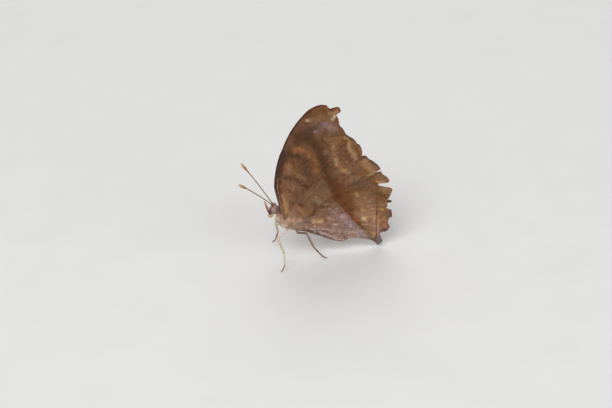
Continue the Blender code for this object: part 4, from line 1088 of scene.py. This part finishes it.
for hand, side in SIDES:
    for kind, nodes, _, layer, lift, _, pattern, turn in wings_of(hand):
        ring = trace_outline(nodes)
        steps = np.linalg.norm(np.roll(ring, -1, axis=0) - ring, axis=1)
        around = np.arange(0.0, steps.sum(), FRINGE_SPACING)
        lengths_round = np.concatenate([[0.0], np.cumsum(steps)])
        index = np.clip(np.searchsorted(lengths_round, around, "right") - 1, 0, len(ring) - 1)
        way = np.roll(ring, -1, axis=0)[index] - ring[index]
        share = (around - lengths_round[index]) / steps[index]
        places = ring[index] + way * share[:, None]
        outward = np.stack([-way[:, 1], way[:, 0]], axis=1) / steps[index][:, None]
        slope, height, end = FRONT_EDGES[kind]
        front = (places[:, 1] > places[:, 0] * slope + height) & (places[:, 0] < end)
        kept = (~front & (places[:, 0] > FRINGE_START)
                & (places[:, 0] + FRINGE_OVERHANG * outward[:, 0] < FRINGE_END))
        places, outward = places[kept], outward[kept]
        if inside(places[:1] + MARGIN_INSET * outward[:1], ring)[0]:
            outward = -outward
        depth = layer(places[:, 0], places[:, 1]) + lift - SHEET
        roots = np.stack([places[:, 0], side * depth, places[:, 1]], axis=1)
        roots[:, ::2] -= FRINGE_SUNK * outward
        count = len(places)
        ways = np.stack([outward[:, 0], np.zeros(count), outward[:, 1]], axis=1)
        ways += generator.normal(0.0, FRINGE_JITTER, (count, 3)) * np.array((1.0, 0.3, 1.0))
        tints = paint_marks(places - MARGIN_INSET * outward, pattern, turn)
        lengths = generator.uniform(*FRINGE_LENGTHS, count)
        tints = tints * generator.uniform(*FRINGE_TINTS, (count, 1))
        grow_coat(f"{kind}_{hand}_fringe", roots, np.tile((0.0, side, 0.0), (count, 1)), ways, lengths,
                  np.zeros(count), np.full(count, FRINGE_WIDTH), tints, places / 80.0 + 0.3)

# Eyes
# Domed compound eyes of thousands of clear horn lenses over dusky pigment, set in the sides of
# the head. They are glossy, purple-grey, with darker bands below the surface.
EYE_STOPS = ((0.36, "#6b544f"), (0.5, "#8a6f69"), (0.64, "#a68d84"))


def colour_ramp(material, factor, stops):
    """Colour by a factor from 0 to 1, with a stop for each place and colour given."""
    node = add_node(material, "ShaderNodeValToRGB", Fac=factor)
    elements = node.color_ramp.elements
    for element, (position, _) in zip(elements, (stops[0], stops[-1])):
        element.position = position
    for position, _ in stops[1:-1]:
        elements.new(position)
    for element, (_, code) in zip(elements, stops):
        element.color = linear(code)
    return node.outputs["Color"]


eye_finish = new_material("clear facets over dusky pigment")
place = object_place(eye_finish)
depths = add_node(eye_finish, "ShaderNodeTexNoise", Vector=place, Scale=1300.0, Detail=1.0)
facets = add_node(eye_finish, "ShaderNodeTexVoronoi", Vector=place, Scale=11000.0)
relief = add_node(eye_finish, "ShaderNodeBump", {"invert": True}, Height=facets.outputs["Distance"],
                  Strength=0.5, Distance=0.00004)
set_shader(eye_finish, Base_Color=colour_ramp(eye_finish, depths.outputs["Fac"], EYE_STOPS),
           Normal=relief.outputs["Normal"], Roughness=0.45, Coat_Weight=0.18)

for hand, side in SIDES:
    bm = bmesh.new()
    centre = Vector((EYE_CENTRE.x, side * EYE_CENTRE.y, EYE_CENTRE.z))
    bmesh.ops.create_icosphere(bm, subdivisions=5, radius=1.0,
                               matrix=Matrix.Translation(centre) @ Matrix.Diagonal((*EYE_HALF, 1.0)))
    finish_piece(bm, f"eye_{hand}_dome", eye_finish, [f"eye_{hand}"], body_to_part)

# Palps
# Two upturned mouth feelers of three short joints, clad in flat reddish bristle scales, stand in
# front of the face.
PALP = [((-3.05, 0.36, 1.35), 0.14), ((-3.30, 0.43, 1.55), 0.20), ((-3.68, 0.44, 2.30), 0.23),
        ((-3.95, 0.45, 3.00), 0.21), ((-4.08, 0.46, 3.40), 0.17), ((-4.20, 0.47, 3.85), 0.12),
        ((-4.35, 0.47, 4.30), 0.05)]
PALP_COLOURS = ("#7a4438", "#d8a292", "#c88e7e")
PALP_SIDES = 16
PALP_MOTTLE = 0.2
PALP_COAT_SPACING = 0.07
PALP_COAT_LENGTHS = (0.16, 0.3)
PALP_COAT_LIFT = (0.15, 0.4)
PALP_WAY = (-0.35, 0.0, 0.93)
PALP_JITTER = 0.2
PALP_TINTS = (0.75, 1.3)
MAROON_TOP = 1.9
POINT_FOOT = 3.9
BRISTLE_WIDTH = 0.03
TUBE_STEP = 0.12


def tube(path, sides):
    """Closed tube through the points of a path, round its line at each radius."""
    bm = barrel(sides, len(path) - 2)
    points = [Vector(place) for place, _ in path]
    frames = []
    across = None
    for index, point in enumerate(points):
        way = (points[min(index + 1, len(points) - 1)] - points[max(index - 1, 0)]).normalized()
        across = way.orthogonal() if across is None else across - way * across.dot(way)
        across.normalize()
        frames.append((point, across.copy(), way.cross(across), path[index][1]))
    for vert in bm.verts:
        point, across, other, radius = frames[round((vert.co.z + 0.5) * (len(path) - 1))]
        angle = math.atan2(vert.co.y, vert.co.x)
        vert.co = point + (across * math.cos(angle) + other * math.sin(angle)) * radius
    return bm


def smooth_path(path, step):
    """The path with even points added, smooth through the given ones."""
    line = smooth_line([(*place, radius) for place, radius in path], step)
    return [(Vector(point[:3]), float(point[3])) for point in line]


def merge(pieces):
    """One bmesh of several."""
    whole = bmesh.new()
    for piece in pieces:
        mesh = bpy.data.meshes.new("part")
        piece.to_mesh(mesh)
        piece.free()
        whole.from_mesh(mesh)
        bpy.data.meshes.remove(mesh)
    return whole


def palp_colour(places):
    """Maroon at the root, paler pinkish brown along it, darker again at the point."""
    root, middle, point = (rgb(code) for code in PALP_COLOURS)
    colour = root + (middle - root) * smoothstep((places[:, 2:] - MAROON_TOP) / 0.8)
    colour += (point - colour) * smoothstep((places[:, 2:] - POINT_FOOT) / 0.4)
    return colour * (1.0 + PALP_MOTTLE * noise_at(places, 0.3, 2.0))[:, None]


for hand, side in SIDES:
    path = [((u, side * y, v), radius) for (u, y, v), radius in PALP]
    bm = tube(smooth_path(path, TUBE_STEP), PALP_SIDES)
    centres, outward, areas = triangles_of(bm)
    finish_piece(bm, f"palp_{hand}_joints", skin_finish, [f"palp_{hand}"],
                 body_to_part, palp_colour)
    picked = pick_roots(areas, PALP_COAT_SPACING, generator)
    count = len(picked)
    roots = centres[picked]
    ways = np.array(PALP_WAY) + generator.normal(0.0, PALP_JITTER, (count, 3))
    lengths = generator.uniform(*PALP_COAT_LENGTHS, count)
    lifts = generator.uniform(*PALP_COAT_LIFT, count)
    tints = palp_colour(roots) * generator.uniform(*PALP_TINTS, (count, 1))
    unwrapped = np.stack([0.15 + 0.1 * side + roots[:, 0] / 60.0, roots[:, 2] / 8.0], axis=1)
    grow_coat(f"palp_{hand}_bristles", roots, outward[picked], ways, lengths, lifts,
              np.full(count, BRISTLE_WIDTH), tints, unwrapped)

# Tongue
# The drinking tube is rolled up under the face like a watch spring. It is smooth amber horn with
# fine ridges across it.
COIL_CENTRE = Vector((-3.12, 0.0, 0.80))
COIL_SQUASH = 0.74
COIL_OUTER = 0.74
COIL_INNER = 0.08
COIL_TURNS = 2.6
COIL_STEPS = 28
COIL_START = math.radians(60.0)
TONGUE_RADIUS = 0.115
TONGUE_TAPER = 0.05
TONGUE_RIDGE = 0.08
TONGUE_SIDES = 12
TONGUE_ROOT = Vector((0.42, 0.0, 0.72))
TONGUE_ROOT_RADIUS = 0.09

amber = new_material("ringed amber horn")
shade = add_node(amber, "ShaderNodeTexNoise", Vector=object_place(amber), Scale=4000.0, Detail=2.0)
relief = add_node(amber, "ShaderNodeBump", Height=shade.outputs["Fac"], Strength=0.3, Distance=0.00002)
ambers = colour_ramp(amber, shade.outputs["Fac"], ((0.3, "#b56a2c"), (0.7, "#e3b468")))
set_shader(amber, Base_Color=ambers, Normal=relief.outputs["Normal"], Roughness=0.38)

path = [(COIL_CENTRE + TONGUE_ROOT, TONGUE_ROOT_RADIUS)]
steps = int(COIL_TURNS * COIL_STEPS)
for step in range(steps + 1):
    share = step / steps
    angle = COIL_START + 2.0 * math.pi * COIL_TURNS * share
    reach = COIL_OUTER + (COIL_INNER - COIL_OUTER) * share
    radius = (TONGUE_RADIUS - TONGUE_TAPER * share) * (1.0 - TONGUE_RIDGE * (step % 2))
    way = Vector((math.cos(angle), 0.0, COIL_SQUASH * math.sin(angle)))
    path.append((COIL_CENTRE + way * reach, radius))
finish_piece(tube(path, TONGUE_SIDES), "tongue_coil", amber, ["proboscis"],
             body_to_part)

# Antennae
# Each feeler is a thin stiff rod of some forty horn joints with pale rings between them, and it
# ends in a slender club. They spread from the crown.
ANTENNA_ROOT = Vector((-2.30, 0.34, 3.30))
ANTENNA_TIPS = {"left": Vector((-10.66, -5.87, 11.83)), "right": Vector((-8.92, 5.00, 13.03))}
ANTENNA_BOW = 0.35
ANTENNA_JOINTS = 38
JOINT_STEPS = 4
ANTENNA_SIDES = 12
SHAFT_RADIUS = 0.13
CLUB_RADIUS = 0.35
CLUB_LENGTH = 3.3
CLUB_SKEW = 1.35
CLUB_ROUND = 0.93
RING_GROOVE = 0.86
TIP_SHARE = 0.985
TIP_GROOVE = 0.7
ANTENNA_COLOURS = ("#84693f", "#a89068", "#a8734a", "#cda67a")

horn = new_material("jointed horn rod")
pits = add_node(horn, "ShaderNodeTexNoise", Vector=object_place(horn), Scale=9000.0, Detail=2.0)
worn = add_node(horn, "ShaderNodeMapRange", Value=pits.outputs["Fac"], From_Min=0.3, From_Max=0.7,
                To_Min=0.82, To_Max=1.14)
relief = add_node(horn, "ShaderNodeBump", Height=pits.outputs["Fac"], Strength=0.35, Distance=0.00003)
set_shader(horn, Base_Color=painted_colour(horn, worn.outputs["Result"]),
           Normal=relief.outputs["Normal"], Roughness=0.5)


def antenna_colour(root, way, club_start):
    """Olive shaft with pale rings, and an orange-brown club with a paler tip."""
    shaft, ring, club, tip = (rgb(code) for code in ANTENNA_COLOURS)

    def colour(places):
        t = (places - np.array(root)) @ np.array(way) / way.length_squared
        between = np.abs((t * ANTENNA_JOINTS + 0.5) % 1.0 - 0.5)
        result = shaft + (ring - shaft) * (smoothstep((0.22 - between) / 0.15) * 0.5)[:, None]
        result += (club - result) * smoothstep((t - club_start) / 0.08)[:, None]
        return result + (tip - result) * (0.8 * smoothstep((t - 0.86) / 0.12))[:, None]

    return colour


for hand, side in SIDES:
    root = Vector((ANTENNA_ROOT.x, side * ANTENNA_ROOT.y, ANTENNA_ROOT.z))
    way = ANTENNA_TIPS[hand] - root
    club_start = 1.0 - CLUB_LENGTH / way.length
    path = []
    for step in range(JOINT_STEPS * ANTENNA_JOINTS + 1):
        t = step / (JOINT_STEPS * ANTENNA_JOINTS)
        swell = max((t - club_start) / (1.0 - club_start), 0.0)
        club = math.sin(math.pi * min(swell, 1.0) ** CLUB_SKEW * CLUB_ROUND) if swell > 0.0 else 0.0
        radius = SHAFT_RADIUS + (CLUB_RADIUS - SHAFT_RADIUS) * max(club, 0.0)
        if step % JOINT_STEPS == 0:
            radius *= RING_GROOVE
        if t > TIP_SHARE:
            radius *= TIP_GROOVE
        bow = Vector((0.0, 0.0, ANTENNA_BOW * 4.0 * t * (1.0 - t)))
        path.append((root + way * t + bow, radius))
    finish_piece(tube(path, ANTENNA_SIDES), f"antenna_{hand}_joints", horn,
                 [f"antenna_{hand}"], body_to_part, antenna_colour(root, way, club_start))

# Legs
# Six jointed legs of thin horn under close flat scales. The two small forelegs are folded under
# the head; four slender legs carry the body on five-jointed feet, each with spurs and two claws.
# Bends of the walking legs in the floor's frame: the knee, the ankle and the foot to its toe
LEGS = {
    "midleg_left": [(-2.15, -3.45, 6.90), (-1.16, -6.70, 4.18), (-1.25, -7.55, 1.55),
                    (-1.78, -7.72, 0.62), (-2.25, -7.95, 0.10)],
    "midleg_right": [(-1.71, 3.80, 7.34), (-1.03, 6.00, 3.28), (-1.45, 6.60, 1.50),
                     (-1.75, 6.95, 0.55), (-2.40, 7.25, 0.10)],
    "hindleg_left": [(5.10, -1.70, 6.30), (6.45, -2.75, 3.00), (7.92, -3.30, 1.12),
                     (8.55, -3.55, 0.50), (9.45, -3.95, 0.10)],
    "hindleg_right": [(6.10, 2.70, 5.35), (9.40, 5.30, 3.25), (11.90, 6.65, 1.40),
                      (12.60, 6.95, 0.52), (13.60, 7.25, 0.10)]}
# Bends of a foreleg in the insect's own frame, on the right side
FORELEG = [(-0.95, 0.62, -1.30), (-1.75, 0.60, -0.62), (-2.15, 0.55, -0.42)]
# Radii of each joint where it is thickest and thinnest, and how the foot's joints share it out
THIGH_RADII = {"midleg": (0.42, 0.30), "hindleg": (0.26, 0.30)}
SHIN_RADII = {"midleg": (0.31, 0.25), "hindleg": (0.24, 0.25)}
FORELEG_RADII = ((0.24, 0.18), (0.17, 0.12), (0.11, 0.07))
FOOT_RADII = (0.205, 0.180, 0.165, 0.150, 0.130)
FOOT_ENDS = (0.0, 0.40, 0.60, 0.76, 0.88, 1.0)
LIMB_SIDES = 14
# Radii of the hips, spurs and spines at shares of their length
HIP_RADII = [(0.0, 0.34), (0.5, 0.32), (0.85, 0.26), (1.0, 0.16)]
SPUR_RADII = [(0.0, 0.05), (0.5, 0.04), (1.0, 0.01)]
SPINE_RADII = [(0.0, 0.022), (1.0, 0.006)]
# How far the hips start in the body and stand out from it
HIP_DEPTH = 0.3
HIP_REACH = 0.75
FORELEG_REACH = 0.1
# A claw's bends: forward, to the side and up from its root, and its radius
CLAW_ROOT = 0.05
CLAW = ((0.0, 0.0, 0.0, 0.04), (0.12, 0.05, 0.03, 0.035), (0.22, 0.07, -0.04, 0.012))
CLAW_STEP = 0.04
CLAW_SIDES = 8
SPUR_TURN = 0.6
SPUR_BACK = 0.12
SPUR_AHEAD = 0.32
SPUR_LEAN = 0.26
SHIN_SPINES = 14
SPINES_START = 0.12
SPINES_SPAN = 0.8
SPINE_SPIN = 2.4
SPINE_ROOT = 0.12
SPINE_RISE = 0.12
SPINE_AHEAD = 0.16
FOOT_BROWN_BELOW = {"midleg_left": 1.70, "midleg_right": 3.30, "hindleg_left": 3.0,
                    "hindleg_right": 3.25}
LEG_COLOURS = {
    "midleg": {"thigh": "#e8dad6", "shin": "#d3c3a0", "foot": "#9a6436", "claw": "#3c2a1e"},
    "hindleg": {"thigh": "#84675a", "shin": "#97725c", "foot": "#824f33", "claw": "#3c2a1e"}}
BRUSH_SPACING = 0.085
BRUSH_LENGTHS = (0.25, 0.45)
BRUSH_LIFT = (0.2, 0.5)
BRUSH_WAY = (-0.8, 0.0, 0.1)
BRUSH_JITTER = 0.3
BRUSH_TINTS = (0.75, 1.15)

leg_finish = new_material("scaled horn leg")
scales = add_node(leg_finish, "ShaderNodeTexVoronoi", Vector=object_place(leg_finish), Scale=9000.0)
worn = add_node(leg_finish, "ShaderNodeMapRange", Value=scales.outputs["Distance"], From_Max=0.8,
                To_Min=1.12, To_Max=0.8)
relief = add_node(leg_finish, "ShaderNodeBump", {"invert": True}, Height=scales.outputs["Distance"],
                  Strength=0.4, Distance=0.00003)
set_shader(leg_finish, Base_Color=painted_colour(leg_finish, worn.outputs["Result"]),
           Normal=relief.outputs["Normal"], Roughness=0.6)


def limb(start, end, profile, step=TUBE_STEP):
    """Straight joint of a limb: profile gives its radius at shares of its length."""
    shares = np.linspace(0.0, 1.0, max(4, round((end - start).length / step)))
    radii = np.interp(shares, [share for share, _ in profile], [radius for _, radius in profile])
    return tube([(start.lerp(end, float(s)), float(r)) for s, r in zip(shares, radii)], LIMB_SIDES)


def shank(start, end, thick, thin):
    """Long joint with rounded ends that tapers towards the foot."""
    return limb(start, end, [(0.0, 0.55 * thick), (0.04, 0.85 * thick), (0.15, thick),
                             (0.5, 0.92 * thick), (0.9, thin), (0.97, 1.05 * thin), (1.0, 0.5 * thin)])


def foot_joints(places):
    """Five joints of the foot along its bends, each a little wider at its far end, and claws."""
    line = [Vector(p) for p in places]
    lengths = [0.0]
    for a, b in zip(line[:-1], line[1:]):
        lengths.append(lengths[-1] + (b - a).length)

    def at(share):
        distance = share * lengths[-1]
        index = min(max(int(np.searchsorted(lengths, distance, "right")) - 1, 0), len(line) - 2)
        share = (distance - lengths[index]) / (lengths[index + 1] - lengths[index])
        return line[index].lerp(line[index + 1], share)

    pieces = []
    for near, far, radius in zip(FOOT_ENDS[:-1], FOOT_ENDS[1:], FOOT_RADII):
        pieces.append(limb(at(near), at(far), [(0.0, 0.6 * radius), (0.1, 0.8 * radius), (0.8, radius),
                                               (0.94, 1.1 * radius), (1.0, 0.6 * radius)], 0.08))
    way = (line[-1] - line[-2]).normalized()
    flat = Vector((way.x, way.y, 0.0)).normalized()
    across = Vector((-flat.y, flat.x, 0.0))
    for side in (-1.0, 1.0):
        start = line[-1] - way * CLAW_ROOT + across * side * CLAW_ROOT
        path = [(start + flat * forward + across * side * aside + Vector((0.0, 0.0, rise)), radius)
                for forward, aside, rise, radius in CLAW]
        pieces.append(tube(smooth_path(path, CLAW_STEP), CLAW_SIDES))
    return pieces


def leg_colour(knee, brown_below, toe, codes):
    """Thigh and shin in their colours, the foot orange-brown below a height, and dark claws."""
    shades = {key: rgb(code) for key, code in codes.items()}

    def colour(places):
        knee_gap = np.linalg.norm(places - np.array(knee), axis=1)
        below_knee = places[:, 2] < knee[2] - 0.05
        share = smoothstep((brown_below + 0.25 - places[:, 2]) / 0.5)[:, None]
        result = np.where(below_knee[:, None], shades["shin"], shades["thigh"])
        result = result * (1.0 - 0.25 * np.exp(-(knee_gap / 0.35) ** 2))[:, None]
        result = result + (shades["foot"] - result) * share
        toe_gap = np.linalg.norm(places - np.array(toe), axis=1)
        result += (shades["claw"] - result) * smoothstep((0.16 - toe_gap) / 0.1)[:, None]
        return result * (1.0 + 0.16 * noise_at(places, 0.5, 3.0))[:, None]

    return colour


def foreleg_colour(places):
    """Pale and a little mottled, as the thighs of the midlegs are."""
    return rgb(LEG_COLOURS["midleg"]["thigh"]) * (1.0 + 0.2 * noise_at(places, 0.4, 1.0))[:, None]


for name, joints in LEGS.items():
    pair, hand = name.split("_")
    side = -1.0 if hand == "left" else 1.0
    hip, outward = body_surface(*HIPS[pair], side)
    start = to_floor @ (hip - outward * HIP_DEPTH)
    drop = to_floor @ (hip + outward * HIP_REACH)
    knee, ankle = Vector(joints[0]), Vector(joints[1])
    pieces = [limb(start, drop, HIP_RADII),
              shank(drop, knee, *THIGH_RADII[pair]), shank(knee, ankle, *SHIN_RADII[pair])]
    pieces += foot_joints(joints[1:])
    way = (ankle - knee).normalized()
    across = way.orthogonal().normalized()
    for turn in (-SPUR_TURN, SPUR_TURN):
        lean = Matrix.Rotation(turn, 3, way) @ across
        spur_end = ankle + way * SPUR_AHEAD + lean * SPUR_LEAN
        pieces.append(limb(ankle - way * SPUR_BACK, spur_end, SPUR_RADII, 0.1))
    for number in range(SHIN_SPINES):
        share = SPINES_START + SPINES_SPAN * number / (SHIN_SPINES - 1)
        spin = Matrix.Rotation(SPINE_SPIN * number, 3, way) @ across
        spine_root = knee.lerp(ankle, share) + spin * SPINE_ROOT
        spine_end = spine_root + spin * SPINE_RISE + way * SPINE_AHEAD
        pieces.append(limb(spine_root, spine_end, SPINE_RADII, 0.08))
    finish_piece(merge(pieces), f"{name}_joints", leg_finish, [name], to_part,
                 leg_colour(knee, FOOT_BROWN_BELOW[name], joints[-1], LEG_COLOURS[pair]))

for hand, side in SIDES:
    hip, outward = body_surface(*HIPS["foreleg"], side)
    bends = [hip + outward * FORELEG_REACH] + [Vector((u, side * y, v)) for u, y, v in FORELEG]
    whole = merge([shank(near, far, *radii)
                   for near, far, radii in zip(bends[:-1], bends[1:], FORELEG_RADII)])
    centres, outward, areas = triangles_of(whole)
    finish_piece(whole, f"foreleg_{hand}_joints", leg_finish, [f"foreleg_{hand}"],
                 body_to_part, foreleg_colour)
    picked = pick_roots(areas, BRUSH_SPACING, generator)
    count = len(picked)
    roots = centres[picked]
    ways = np.array(BRUSH_WAY) + generator.normal(0.0, BRUSH_JITTER, (count, 3))
    lengths = generator.uniform(*BRUSH_LENGTHS, count)
    lifts = generator.uniform(*BRUSH_LIFT, count)
    tints = rgb(SKIN_COLOURS["belly"]) * generator.uniform(*BRUSH_TINTS, (count, 1))
    unwrapped = np.stack([0.2 + roots[:, 0] / 60.0, 0.1 + roots[:, 2] / 60.0], axis=1)
    grow_coat(f"foreleg_{hand}_brush", roots, outward[picked], ways, lengths, lifts,
              np.full(count, BRISTLE_WIDTH), tints, unwrapped)
